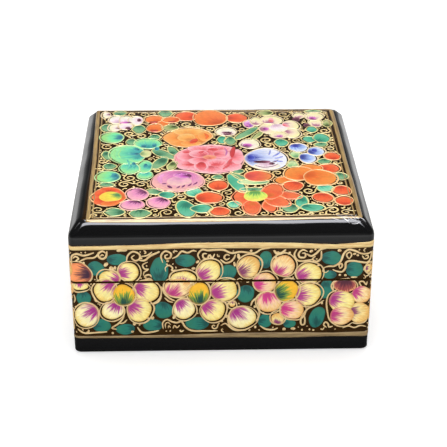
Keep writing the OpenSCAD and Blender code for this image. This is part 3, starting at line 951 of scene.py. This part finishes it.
# Places as on the walls, but across and back over the top.
TOP_LEAVES = dab_rows(
    ("green_leaf", (-29.8, -3.6, 1.5, 1.8, 90), (-30, -14.7, 1.6, 1.1, 90), (-17.2, -19.0, 1.9, 1.6, 0)),
    ("teal_leaf", (-14.3, -21, 1.8, 2.0, 180)),
    ("green_leaf", (-27.0, -30.3, 2.2, 2.0, 0), (-20.8, -31, 2.2, 2.2, 90)),
    ("teal_leaf", (-9.3, -28.6, 4.0, 2.3, 90, 100), (-5.6, -28.8, 2.3, 2.2, 180)),
    ("mint_leaf", (-7.2, -19.8, 1.9, 2.5, 300)), ("green_leaf", (-1, -10.7, 1.2, 1.2, 90)),
    ("teal_leaf", (3.6, -14.6, 5.2, 1.7, 180, -72)), ("green_leaf", (5.0, -11.6, 3.4, 0.9, 180, -52)),
    ("pale_leaf", (8.6, -13.9, 3.3, 1.5, 0)), ("green_leaf", (4.6, -7.4, 1.4, 1.3, 0)),
    ("mint_leaf", (2.8, -26.6, 1.4, 1.9, 90)), ("green_leaf", (16.8, -28.8, 1.9, 2.3, 45)),
    ("teal_leaf", (20.0, -25.6, 2.9, 1.5, 90, 80), (22.3, -28.8, 2.5, 2.0, 150)),
    ("mint_leaf", (26.6, -17.8, 1.9, 2.0, 120)), ("green_leaf", (31.6, -10.8, 1.5, 2.0, 90)),
    ("pale_leaf", (19.2, -3.8, 1.3, 2.4, 270)),
    ("green_leaf", (28, -1.7, 1.5, 1.7, 90), (-28.8, 32.2, 1.6, 1.8, 270), (-32, 22, 1.5, 2.8, 90),
     (-22.8, 20.9, 1.6, 2.9, 90), (-15.5, 32.2, 1.7, 2.6, 90)),
    ("olive_leaf", (-13.7, 21.6, 1.9, 2.2, 45)),
    ("green_leaf", (-15.8, 3.8, 3.6, 1.7, 200, -45), (-13.0, 5.4, 2.6, 1.2, 250, -70),
     (-16.3, -1.7, 3.6, 1.6, 60, 65)),
    ("olive_leaf", (-13, -3.4, 2.3, 1.1, 90, 75)),
    ("green_leaf", (-24.6, 12, 1.3, 2.1, 90), (-18.2, 15.2, 1.3, 1.8, 90), (-31.0, 3.4, 2.6, 1.1, 90, 100)),
    ("olive_leaf", (14, 32, 1.9, 1.9, 0)),
    ("green_leaf", (28, 32.8, 2.2, 1.0, 90), (7.9, 17.3, 4.8, 1.3, 0, 52)),
    ("olive_leaf", (11, 15.9, 3.2, 0.8, 0, 60)), ("teal_leaf", (0.7, 13.1, 1.2, 2.5, 90)),
    ("green_leaf", (3.0, 12.3, 1.3, 2.9, 90)),
    ("teal_leaf", (17.2, 10.8, 1.6, 2.4, 90), (25.4, 12.8, 1.8, 2.0, 0), (28.6, 13.2, 2.0, 3.2, 240)),
    ("green_leaf", (28.1, 9.2, 1.5, 1.4, 90)), ("teal_leaf", (26.4, 19.3, 1.3, 2.2, 270)),
    ("olive_leaf", (31.2, 23.5, 1.2, 2.4, 270)), ("pale_leaf", (20.6, 2.6, 1.4, 2.2, 270)),
    ("green_leaf", (8.0, -18.6, 2.7, 1.0, 270)),
)
TOP_DISCS = dab_rows(
    ("vermilion", (-9.3, 29.7, 3.1, 3.3, 340), (5.2, 28.2, 3.2, 2.9, 180)),
    ("orange", (-2.4, 28.2, 4.9, 5.4, 300)), ("coral_disc", (9.5, -10.6, 3.7, 3.0, 180)),
    ("orange", (-16, 25.6, 1.8, 2.7, 60), (-13.5, 27.2, 2.3, 2.0, 0), (-18.4, 21.2, 2.2, 2.7, 250),
     (-18.7, 27.6, 2.5, 2.5, 290)),
    ("vermilion", (30.5, 1.2, 2.1, 2.3, 270), (25.6, -23.2, 2.5, 2.6, 90), (30.8, -19.2, 2.2, 2.6, 90),
     (30.8, -25.4, 2.1, 2.4, 270), (-3.6, -22.9, 3.5, 2.9, 200), (-1, -16, 2.5, 2.7, 270),
     (-0.9, -30.3, 2.5, 2.2, 90)),
    ("red_flower", (-28.9, -21.8, 3.8, 5.4, 0)),
)
TOP_TEAL = dab_rows(
    ("mint_bud", (-30, 15, 3.1, 3.4, 0), (-29.8, -10.2, 3.0, 3.3, 0)),
    ("teal_bloom", (-20.2, -9.2, 1.8, 2.4, 90), (-20.3, -4.2, 1.9, 3.6, 0), (-24.4, -5.0, 2.6, 3.1, 70),
     (-20, 10.6, 3.6, 3.3, 270), (-25.2, 3.5, 4.8, 5.9, 0)),
)
TOP_TEAL_SOFT = dab_rows(
    ("deep_teal", (-21, 9.2, 0.9, 1.3, 270), (-18.2, 9.6, 0.7, 1.4, 270), (-17.4, 7.2, 0.7, 1.2, 200),
     (-23.1, 6.8, 1.3, 0.8, 0, -50), (-23.7, 3.9, 1.6, 0.9, 0, -15), (-20.2, -4, 0.6, 1.7, 90),
     (-23.4, -2.8, 0.6, 1.3, 60), (-28.3, -9.6, 0.9, 1.6, 0)),
    ("teal_bloom", (-22.9, 0.2, 1.8, 1.6, 80)), ("straw_heart", (-20.4, 3.9, 1.6, 2.2, 180)),
)
TOP_BLUE = dab_rows(
    ("blue_bloom", (12.3, 0.0, 5.6, 7.0, 170)),
    ("blue_petal", (23.6, 0.4, 2.3, 3.0, 160), (26.2, 4.6, 2.4, 2.5, 200), (21.6, 7.3, 2.5, 2.7, 115)),
)
TOP_BLUE_SOFT = dab_rows(
    ("pale_blossom", (12.2, -4.4, 3.8, 2.0, 90)), ("indigo", (8.3, 1.0, 1.1, 1.7, 180)),
    ("maroon_spot", (11.2, -1.9, 2.3, 0.9, 160), (13.7, -3.2, 0.9, 0.6, 0, 20)),
    ("indigo", (20.9, 8.1, 1.2, 0.9, 90, 20), (25.9, 5.2, 0.8, 1.3, 200)),
)
TOP_CREAM = dab_rows(
    ("white_blossom", (-32.6, 31.2, 1.2, 2.1, 20), (-29.4, 22, 1.9, 2.6, 340)),
    ("pale_blossom", (-29.4, 27.6, 2.2, 2.8, 290), (-26.8, 27.2, 1.7, 2.7, 280),
     (-26.7, 22.9, 1.8, 2.5, 300), (-23.7, 26.8, 1.9, 3.1, 0)),
    ("lilac_petal", (8.7, 23.8, 1.5, 2.8, 250)),
    ("cream_blossom", (10.9, 25.4, 1.6, 2.9, 250), (15.3, 26.2, 3.2, 2.8, 250), (20.5, 22.4, 2.5, 3.2, 160),
     (20.5, 17, 2.4, 3.0, 150), (16.8, 15.8, 2.3, 2.3, 270), (14.0, 20.3, 2.5, 3.4, 200),
     (28.0, 24.2, 1.8, 3.0, 270), (23.5, 29.5, 1.6, 1.9, 270), (27.9, 28.7, 2.6, 2.8, 250)),
    ("white_blossom", (2, 18.4, 2.7, 2.9, 280), (8.3, 9.8, 2.8, 2.9, 235)),
)
TOP_CREAM_SOFT = dab_rows(
    ("pale_blossom", (17.0, 20.8, 2.6, 2.8, 110)), ("orchid", (-26.9, 25.3, 1.9, 0.7, 0)),
    ("maroon_spot", (-26, 21.3, 0.8, 0.9, 0), (-23.0, 27.0, 0.6, 1.2, 0)),
    ("orchid", (13.4, 20, 0.9, 1.1, 200)),
    ("maroon_spot", (2.1, 17.8, 1.5, 0.6, 0, -5), (22.6, 26.9, 1.1, 1.6, 270), (25.3, 22.6, 0.9, 1.3, 270)),
    ("orchid", (27.4, 27.7, 1.1, 1.0, 250), (7.7, 9.2, 1.3, 1.1, 235)),
    ("rose_light", (15.2, 26.3, 0.8, 1.6, 250), (19.2, 22.4, 0.8, 1.4, 200, 30)),
    ("orchid", (17.0, 15.0, 0.9, 0.7, 270), (8.1, 22.4, 0.7, 1.1, 250)),
)
TOP_POPPY = dab_rows(
    ("poppy", (16.5, -13.3, 2.5, 2.0, 30)), ("vermilion", (28.7, -6.2, 2.8, 2.6, 200)),
    ("poppy", (23.8, -6.6, 3.0, 2.8, 260), (20.7, -9.4, 3.9, 4.1, 300), (25.8, -11.8, 4.4, 4.4, 150)),
    ("vermilion", (18.5, -16.4, 2.5, 2.7, 60)),
)
TOP_RED_FLOWER = dab_rows(
    ("red_flower", (16.8, -22.0, 2.8, 1.8, 180, -15), (11.6, -27.9, 2.7, 1.6, 120, -80),
     (4.8, -23.2, 3.6, 1.9, 0, 95), (7.2, -28.2, 3.4, 2.1, 80, -88), (13.6, -25.0, 3.3, 2.6, 150, -40),
     (12.9, -19.8, 3.7, 2.7, 250, 75)),
)
TOP_RED_SOFT = dab_rows(
    ("vermilion", (-29, -17.9, 2.7, 1.5, 270, -10), (-31.2, -20, 1.6, 2.3, 300),
     (-31.2, -24.2, 1.6, 2.0, 60)),
    ("orange", (-28.4, -25.5, 2.5, 1.5, 90, 15)), ("yellow_heart", (8.4, -22.2, 3.0, 3.1, 90)),
    ("yellow_bloom", (-28.6, -21.9, 2.8, 2.9, 20)),
)
TOP_BUDS = dab_rows(
    ("pink_bud", (-22.8, -26.3, 2.8, 2.7, 70), (-21.8, -20.4, 2.8, 3.2, 40), (-16.2, -25.2, 2.7, 3.0, 60)),
)
TOP_ORANGE_ROSE = dab_rows(
    ("orange_rose", (-8.9, 14.7, 6.1, 6.6, 300)),
)
TOP_ORANGE_SOFT = dab_rows(
    ("orange_soft", (-8.6, 18.4, 4.2, 2.4, 270)), ("orange_rose", (-13.2, 14.4, 2.4, 3.2, 0)),
    ("orange_soft", (-9.3, 14.6, 2.6, 2.6, 300)),
    ("orange_rose", (-4.4, 15.4, 1.6, 3.3, 0), (-8.0, 10.6, 3.0, 1.6, 90)),
)
TOP_MAUVE = dab_rows(
    ("mauve_bloom", (-11.6, -12.8, 6.6, 6.4, 75)),
)
TOP_MAUVE_SOFT = dab_rows(
    ("mauve_light", (-11.2, -13.2, 3.2, 2.6, 90)), ("orchid", (-10.4, -10.0, 2.5, 1.4, 20, -8)),
)
TOP_ROSE = dab_rows(
    ("rose_pink", (-3, 0.5, 9.0, 9.0, 110)),
)
TOP_ROSE_SOFT = dab_rows(
    ("rose_light", (-8.7, -3.8, 3.0, 2.7, 60), (2.9, -4.2, 2.6, 3.2, 120), (-9.4, 2.3, 2.4, 3.2, 350),
     (0.4, 6.9, 3.3, 1.9, 250), (-2.7, -6.3, 3.4, 2.3, 90), (4.5, 1.5, 1.8, 4.7, 180),
     (-5.7, 7.0, 3.4, 2.0, 290), (-6.1, -0.9, 2.7, 2.1, 30), (-0.9, -2.1, 2.7, 2.3, 270),
     (-5.9, 3.7, 2.8, 2.4, 315), (0.3, 3.3, 2.2, 2.9, 180)),
    ("rose_heart", (-3.0, 1.3, 1.9, 1.3, 270)),
    ("rose_red", (-5.3, -4.3, 1.3, 2.7, 90), (-5.7, 4.0, 2.1, 1.8, 320, 20),
     (-1.2, -3.3, 1.6, 1.6, 100, 20), (-1.8, 6.3, 1.7, 1.0, 250), (-8.8, -3.5, 1.8, 0.7, 20),
     (-9.4, 4.6, 1.0, 0.8, 320)),
)
# A bloom's dabs with lines round them, the soft ones laid into them, the colour of the lines and its
# licks: paint, how far along its stroke its colour is from, width, and the marks of the brush.
BLOOMS = {
    "leaves": (TOP_LEAVES, [], "leaf_line", []),
    "discs": (TOP_DISCS, [], "orange_line", [
        ("vermilion", 0.0, 1.5, (-20, 25.6), (-18.8, 25.2), (-17.6, 25.6)),
        ("vermilion", 0.0, 1.5, (-19.6, 19.6), (-18.4, 19.2), (-17.4, 19.8)),
        ("vermilion", 0.0, 1.0, (-14.6, 25.8), (-13.4, 25.6), (-12.2, 26.2)),
    ]),
    "teal_bloom": (TOP_TEAL, TOP_TEAL_SOFT, "mint_line", [
        ("teal_bloom", 1.0, 0.7, (-28.8, 6.5), (-29.2, 3.6), (-28.4, 0.6)),
        ("teal_bloom", 1.0, 0.5, (-27.2, 6.8), (-27.8, 3.8), (-27, 0.8)),
        ("deep_teal", 1.0, 0.5, (-25.4, 0.4), (-24.6, -3), (-24.8, -6)),
    ]),
    "blue_blooms": (TOP_BLUE, TOP_BLUE_SOFT, "cream_line", [
        ("indigo", 1.0, 0.6, (14.2, 1.4), (15.4, 2.6), (16.4, 4.2)),
        ("indigo", 1.0, 0.6, (14.6, 0.2), (15.8, 0.6), (17, 1.4)),
        ("indigo", 1.0, 0.6, (14.4, -1.2), (15.6, -1.6), (16.8, -1.8)),
        ("indigo", 1.0, 0.45, (13.2, 2.4), (13.6, 4), (13.8, 5.6)),
        ("maroon_spot", 0.8, 0.3, (9.2, -4.2), (11.4, -5.4), (13.8, -4.8), (15.4, -3.4)),
        ("maroon_spot", 0.6, 0.35, (13.2, -2.6), (14.8, -1.8), (15.6, -0.8)),
    ]),
    "cream_blossoms": (TOP_CREAM, TOP_CREAM_SOFT, "cream_line", []),
    "poppy": (TOP_POPPY, [], "orange_line", []),
    "red_flowers": (TOP_RED_FLOWER, TOP_RED_SOFT, "ember_line", []),
    "buds": (TOP_BUDS, [], "pink_line", [
        ("pink_bud", 0.0, 0.7, (-20.9, -18.4), (-20, -19.4), (-19.6, -20.8)),
        ("maroon_spot", 0.0, 0.35, (-23.9, -18.6), (-22.9, -17.6), (-21.4, -17.4)),
        ("maroon_spot", 0.2, 0.5, (-23, -24.2), (-21.6, -24.6), (-20.8, -25.8)),
        ("maroon_spot", 0.2, 0.5, (-15.8, -22.8), (-14.6, -23.8), (-14.1, -25)),
    ]),
    "orange_rose": (TOP_ORANGE_ROSE, TOP_ORANGE_SOFT, "orange_line", [
        ("vermilion", 0.3, 2.0, (-7.9, 10.2), (-7.3, 11.8), (-6.5, 13.6)),
        ("poppy", 0.3, 0.9, (-3.9, 13.2), (-3.4, 15.2), (-4.2, 17.2)),
    ]),
    "mauve_bloom": (TOP_MAUVE, TOP_MAUVE_SOFT, "pink_line", [
        ("orchid", 1.0, 1.3, (-15.2, -8.6), (-16.2, -11.4), (-15.8, -14.4)),
        ("orchid", 0.4, 0.9, (-12.4, -9.9), (-10.6, -8.9), (-8.8, -9.4)),
        ("orchid", 0.0, 1.0, (-9.2, -9.2), (-8.4, -10), (-8.5, -11.2)),
        ("orchid", 0.0, 0.9, (-14.2, -15.9), (-13.6, -16.6), (-13.0, -17.4)),
        ("orchid", 0.2, 0.6, (-15.6, -14.9), (-15, -14.7), (-14.4, -14.9)),
        ("orchid", 0.1, 0.5, (-11.8, -17.5), (-11.3, -16.8), (-10.9, -16.2)),
        ("orchid", 0.1, 0.55, (-10.5, -17.2), (-10, -16.3), (-9.6, -15.6)),
        ("orchid", 0.1, 0.5, (-8.9, -16.4), (-8.3, -15.5), (-7.9, -14.8)),
        ("orchid", 0.2, 0.5, (-7.5, -15.6), (-6.8, -14.7), (-6.4, -13.9)),
        ("mauve_bloom", 1.0, 0.7, (-16.4, -16), (-13, -18.3), (-9, -18.2)),
    ]),
    "rose": (TOP_ROSE, TOP_ROSE_SOFT, "pink_line", [
        ("rose_red", 0.2, 1.4, (3.9, 8.0), (3.4, 4.8), (3.1, 1.0)),
        ("rose_red", 0.5, 1.0, (3.1, 0.2), (2.4, -1.8), (2.8, -3.8)),
        ("rose_red", 0.6, 0.8, (2.5, -2.8), (1.6, -4.6), (0.4, -6.4)),
        ("rose_light", 1.0, 0.5, (-6.8, -2.4), (-7.0, -4.8), (-5.8, -6.8)),
        ("rose_light", 1.0, 0.5, (-4.0, -2.4), (-3.6, -4.8), (-4.4, -6.8)),
        ("mauve_bloom", 0.1, 0.5, (1.2, 7.2), (1.8, 4.8), (1.4, 2.0)),
    ]),
}
# The painter set the flowers a little to the right of the middle of the lid.
TOP_SHIFT = 0.6
POINTED_PAINTS = (
    "teal_leaf", "green_leaf", "mint_leaf", "pale_leaf", "olive_leaf", "red_flower", "orange_rose",
)
TOP_LINE_GAP, TOP_LINE_W = 0.08, 0.34
LICK_LAYER = 5.4


def lay_flowers(points):
    """The flowers' own places on the top, to x, y and z."""
    return lay_on_top(points + [TOP_SHIFT, 0, 0])


top_rows = [row for lined, soft, _, _ in BLOOMS.values() for row in lined + soft]
top_levels = layers_of(top_rows)
top_lines, done = [], 0
for bloom, (lined, soft, line, licks) in BLOOMS.items():
    lined_end, soft_end = done + len(lined), done + len(lined) + len(soft)
    lined_levels, soft_levels = top_levels[done:lined_end], top_levels[lined_end:soft_end]
    done = soft_end
    parts = painted(lined, lined_levels, POINTED_PAINTS) + painted(soft, soft_levels)
    parts += [stroke(marks, width, paint, LICK_LAYER, far) for paint, far, width, *marks in licks]
    top_lines += outlined(lined, lined_levels, TOP_LINE_GAP, TOP_LINE_W, line, POINTED_PAINTS)
    piece(f"top_{bloom}", parts, lay_flowers, "lid")
piece("top_outlines", top_lines, lay_flowers, "lid")


# Scrolls: the last work on the ground, gold curls, hooks and dots put wherever brown still shows.
# The painter fills the widest gaps first, so the largest circle that fits is found again and again.
GRID = 0.25
CURL_MOST, CURL_LEAST, HOOK_LEAST, DOT_LEAST = 1.9, 0.95, 0.55, 0.38
CURLS_MOST, GOLDEN_ANGLE = 1500, 137.5
DAB_ROOM, STROKE_ROOM = 0.45, 0.5
TOP_CURL_W, WALL_CURL_W = 0.46, 0.38
FIELD_LOW, FIELD_HIGH, BAND_EDGE = (-32.8, -33.2), (32.8, 33.0), 1.2


def window(middle, reach, low):
    """The part of the grid within a reach of a point, as two slices."""
    cells = (np.array(middle)[:, None] + [[-reach, reach]] - np.array(low)[:, None]) / GRID
    return tuple(slice(*pair) for pair in np.clip(np.round(cells), 0, None).astype(int))


def open_ground(low, high, rows, lines=(), wrap=0.0):
    """A grid over the field, and how far each of its points is from the nearest dab, line or border.
    Outside an oval that is the way to its middle times (1 - 1/q), where q is the oval's own measure."""
    u, v = np.meshgrid(np.arange(low[0], high[0], GRID), np.arange(low[1], high[1], GRID), indexing="ij")
    free = np.minimum(v - low[1], high[1] - v)
    if not wrap:
        free = np.minimum(free, np.minimum(u - low[0], high[0] - u))
    for _, at_u, at_v, half_u, half_v, _, turn in rows:
        turn = math.radians(turn)
        for shift in (-wrap, 0, wrap) if wrap else (0,):
            middle = (at_u + shift, at_v)
            cells = window(middle, max(half_u, half_v) + DAB_ROOM + 2, low)
            du, dv = u[cells] - middle[0], v[cells] - middle[1]
            along = du * math.cos(turn) + dv * math.sin(turn)
            aside = dv * math.cos(turn) - du * math.sin(turn)
            measure = np.hypot(along / half_u, aside / half_v) + 1e-6
            free[cells] = np.minimum(free[cells], np.hypot(du, dv) * (1 - 1 / measure) - DAB_ROOM)
    for line in lines:
        for spot in line.points[:: 2 * len(SECTION), :2]:
            cells = window(spot, 2.0, low)
            away = np.hypot(u[cells] - spot[0], v[cells] - spot[1])
            free[cells] = np.minimum(free[cells], away - STROKE_ROOM)
    return u, v, free


def scrolls(u, v, free, width, paint):
    """Curls, hooks and dots for the open ground, widest gaps first, and each faces its own way."""
    drawn = []
    for count in range(CURLS_MOST):
        widest = np.argmax(free)
        room = min(free.flat[widest], CURL_MOST)
        if room < DOT_LEAST:
            break
        middle = np.array([u.flat[widest], v.flat[widest]])
        free = np.minimum(free, np.hypot(u - middle[0], v - middle[1]) - room)
        facing, hand = GOLDEN_ANGLE * count, 1 if count % 3 else -1
        out = heading(math.radians(facing))
        onward = np.array([-out[1], out[0]]) * hand
        line_width, press = width * (0.9 + 0.25 * math.sin(count)), 0.3
        if room > CURL_LEAST:
            radius = room - width * 0.6
            end = middle + radius * out
            tail = [end + onward * 0.7 * room, end + onward * 1.3 * room + out * 0.3 * room]
            wound = curl(*middle, radius, hand * (0.6 + 0.4 * room), facing, tail)
        elif room > HOOK_LEAST:
            wound = curl(*middle, room * 0.7, hand * 0.55, facing, [middle + room * (onward + out) * 0.8])
        else:
            wound = [middle - out * room * 0.35, middle, middle + out * room * 0.35]
            line_width, press = room * 1.15, 0.4
        drawn.append(stroke(wound, line_width, paint, press=press))
    return drawn


shifted = [(paint, u + TOP_SHIFT, *rest) for paint, u, *rest in top_rows]
top_ground = open_ground(FIELD_LOW, FIELD_HIGH, shifted)
piece("top_scrolls", scrolls(*top_ground, TOP_CURL_W, "gold_top"), lay_on_top, "lid")

wall_low, wall_high = (-2 * WALL_LENGTH, BAND_LOW + BAND_EDGE), (2 * WALL_LENGTH, BAND_HIGH - BAND_EDGE)
wall_ground = open_ground(wall_low, wall_high, wall_rows, wall_lines, wrap=4 * WALL_LENGTH)
wall_scrolls = scrolls(*wall_ground, WALL_CURL_W, "gold_line")
for body, keep in (("lid", 1), ("base", -1)):
    piece(f"wall_scrolls_{body}", wall_scrolls, lay_on_wall, body, keep)


# Pale grey-white streaks at the front right corner of the top, along and over the arris.
#  Each is a width and the marks it runs through.
CORNER_STREAKS = [
    (0.245, (28.6, -33.2), (29.8, -34.2), (31.0, -35.4), (31.6, -36.0)),
    (0.154, (29.2, -33.1), (30.4, -34.0), (31.8, -34.6), (32.6, -35.6)),
    (0.21, (32.2, -32.8), (32.6, -34.2), (33.2, -35.2)),
    (0.21, (33.6, -33.0), (33.1, -34.2), (33.9, -34.9), (34.3, -34.0)),
    (0.14, (30.2, -34.9), (31.2, -35.3), (32.4, -35.2), (33.6, -35.6)),
    (0.14, (31.0, -33.9), (31.5, -34.9), (31.2, -35.7)),
    (0.175, (34.2, -34.2), (35.0, -35.0), (35.6, -35.8)),
    (0.126, (30.6, -33.4), (31.6, -33.8), (32.4, -33.6)),
    (0.14, (27.2, -34.6), (28.4, -35.0), (29.4, -35.2)),
    (0.14, (32.0, -36.0), (33.0, -36.1), (34.2, -35.9)),
]
streaked = [stroke(marks, width, "bare_gesso", 1.0, press=0.6) for width, *marks in CORNER_STREAKS]
piece("top_corner_streaks", streaked, lay_on_top, "lid")


# The studio: a white sweep under a dim ceiling, with soft boxes behind the camera, overhead and beside it.
# The black lacquer mirrors it, so where it is bright and where it is dim gives the box its highlights.
WHITE = (1, 1, 1, 1)
WINDOW_SIDE, WINDOW_BLUR = 0.2, 0.08
WINDOW_LOW, WINDOW_TOP, WINDOW_END = 20.0, 22.6, 23.8
FLOOR_HALF, FLOOR_DROP = 2.0, 0.05 * MM


def sweep():
    """A white paper floor: bright to the camera, and lit as paper to diffuse rays, so that the box's shadow
    stays.
    To glossy rays it is a glow instead, with a painted shadow that dims it near the box and a painted
    fall-off far from it, which the lacquer mirrors as a painted reflection. It can't be seen from below."""
    made, tree, shader = finish_material("white_paper_sweep")
    plug(tree, shader, {"Base Color": linear("#e6e6e6"), "Roughness": 0.9})
    paper = shader.outputs[0]
    rays = add(tree, "LightPath").node.outputs
    lit = add(tree, "AddShader", {0: paper, 1: add(tree, "Emission", {"Color": WHITE, "Strength": 0.62})})
    plain = add(tree, "MixShader", {0: times(tree, rays["Is Camera Ray"], 0.6), 1: paper, 2: lit})
    spot = add(tree, "SeparateXYZ", {0: add(tree, "TexCoord", out="Object")}).node.outputs
    ways = [add(tree, "Math", {0: spot[axis]}, operation="ABSOLUTE") for axis in (0, 1)]
    away = add(tree, "Math", {0: ways[0], 1: ways[1]}, operation="MAXIMUM")
    # Painted shadow and painted reflection: to glossy rays the floor glows, dimmed near the box and fading
    # far from it.
    painted_floor_shadow = ramp(tree, away, (HALF + 2) * MM, (HALF + 110) * MM, 0.1, 1.0)
    painted_reflection_strength = times(tree, painted_floor_shadow, ramp(tree, away, 150 * MM, 900 * MM, 1.1, 0.35))
    painted_reflection_glow = add(tree, "Emission", {"Color": WHITE, "Strength": painted_reflection_strength})
    above = add(tree, "MixShader", {0: rays["Is Glossy Ray"], 1: plain, 2: painted_reflection_glow})
    below = add(tree, "NewGeometry", out="Backfacing")
    shown = add(tree, "MixShader", {0: below, 1: above, 2: add(tree, "BsdfTransparent")})
    plug(tree, tree.nodes["Material Output"], {"Surface": shown})
    return made


floor_mesh = bpy.data.meshes.new("floor")
floor_ways = ((-1, -1), (1, -1), (1, 1), (-1, 1))
floor_corners = [(FLOOR_HALF * x, FLOOR_HALF * y, -FLOOR_DROP) for x, y in floor_ways]
floor_mesh.from_pydata(floor_corners, [], [(0, 1, 2, 3)])
floor_mesh.materials.append(sweep())
floor = put("floor", floor_mesh)

world = bpy.data.worlds.new("white_sweep_and_dim_ceiling")
bpy.context.scene.world = world
world.use_nodes = True
sky = world.node_tree
way_x, _, way_z = add(sky, "SeparateXYZ", {0: add(sky, "TexCoord", out="Generated")}).node.outputs
# The window that the lacquer mirrors lies between two heights, and between two sides.
edges = (WINDOW_LOW - 1, WINDOW_LOW, WINDOW_TOP, WINDOW_END)
low_end, low, top, top_end = (math.sin(math.radians(angle)) for angle in edges)
window_share = ramp(sky, way_z, top, top_end, 1.0, 0.0, kind="SMOOTHSTEP")
window_share = times(sky, window_share, ramp(sky, way_z, low_end, low, kind="SMOOTHSTEP"))
aside = add(sky, "Math", {0: way_x}, operation="ABSOLUTE")
sides = ramp(sky, aside, WINDOW_SIDE, WINDOW_SIDE + WINDOW_BLUR, 1.0, 0.0, kind="SMOOTHSTEP")
window_share = times(sky, window_share, sides)
rim_glow = ramp(sky, way_z, 0.0, 0.3, 0.45, 0.1)
backdrop = ramp(sky, window_share, 0.0, 1.0, rim_glow, 0.36)
seen_plain = add(sky, "LightPath", out="Is Camera Ray")
strength = add(sky, "Mix", {0: seen_plain, 2: backdrop, 3: 1.0})
plug(sky, sky.nodes["Background"], {"Color": WHITE, "Strength": strength})


def soft_box(name, place, size, power, aim=(0, 0, 20)):
    """A flat soft light at a place in millimetres, turned to shine on the box."""
    lamp = bpy.data.lights.new(name, "AREA")
    lamp.shape = "RECTANGLE"
    lamp.size, lamp.size_y = size[0] * MM, size[1] * MM
    lamp.energy = power
    holder = put(name, lamp)
    holder.location = Vector(place) * MM
    holder.rotation_euler = (Vector(aim) - Vector(place)).to_track_quat("-Z", "Y").to_euler()
    return holder


# Five large boxes give the plain light, and aren't mirrored.
for name, place, size, power in (
    ("overhead_box", (0, 60, 620), (700, 500), 2.4), ("front_box", (-60, -900, 480), (1500, 900), 7.2),
    ("back_box", (0, 900, 420), (1200, 700), 4.0), ("left_box", (-900, 0, 300), (1000, 600), 3.0),
    ("right_box", (900, 0, 300), (1000, 600), 3.0),
):
    soft_box(name, place, size, power).visible_glossy = False
# Two small lamps above the box are only mirrored, as the pale line and the lilac line along the near arris.
for name, place, depth, power in (
    ("white_lamp", (10, 350, 496), 170, 1.9), ("grey_lamp", (10, -35, 636), 585, 8.8),
):
    lamp = soft_box(name, place, (380, depth), power, aim=(0, -35, 36))
    lamp.visible_diffuse = False
    lamp.data.color = (0.93, 0.94, 1.0)

# The camera stands a little to the left of the middle, and looks down at the box from arm's length.
PITCH, YAW, ROLL = (math.radians(angle) for angle in (28.11, 1.49, 0.12))
FOCAL, SENSOR = 100.2, 36.0
DISTANCE, AIM_HEIGHT, SLIP_RIGHT, SLIP_UP = 347.5, 15.2, 1.42, 1.69
ahead = Vector((math.sin(YAW) * math.cos(PITCH), math.cos(YAW) * math.cos(PITCH), -math.sin(PITCH)))
level = Vector((math.cos(YAW), -math.sin(YAW), 0))
upright = level.cross(ahead)
across = level * math.cos(ROLL) + upright * math.sin(ROLL)
over = upright * math.cos(ROLL) - level * math.sin(ROLL)
stand = Vector((0, 0, AIM_HEIGHT)) - ahead * DISTANCE + across * SLIP_RIGHT + over * SLIP_UP
lens = bpy.data.cameras.new("camera")
lens.lens, lens.sensor_width = FOCAL, SENSOR
lens.clip_start, lens.clip_end = 0.02, 20
camera = put("camera", lens)
camera.matrix_world = Matrix((
    (across.x, over.x, -ahead.x, stand.x * MM),
    (across.y, over.y, -ahead.y, stand.y * MM),
    (across.z, over.z, -ahead.z, stand.z * MM),
    (0, 0, 0, 1),
))
bpy.context.scene.camera = camera
bpy.context.scene.view_settings.view_transform = "Standard"
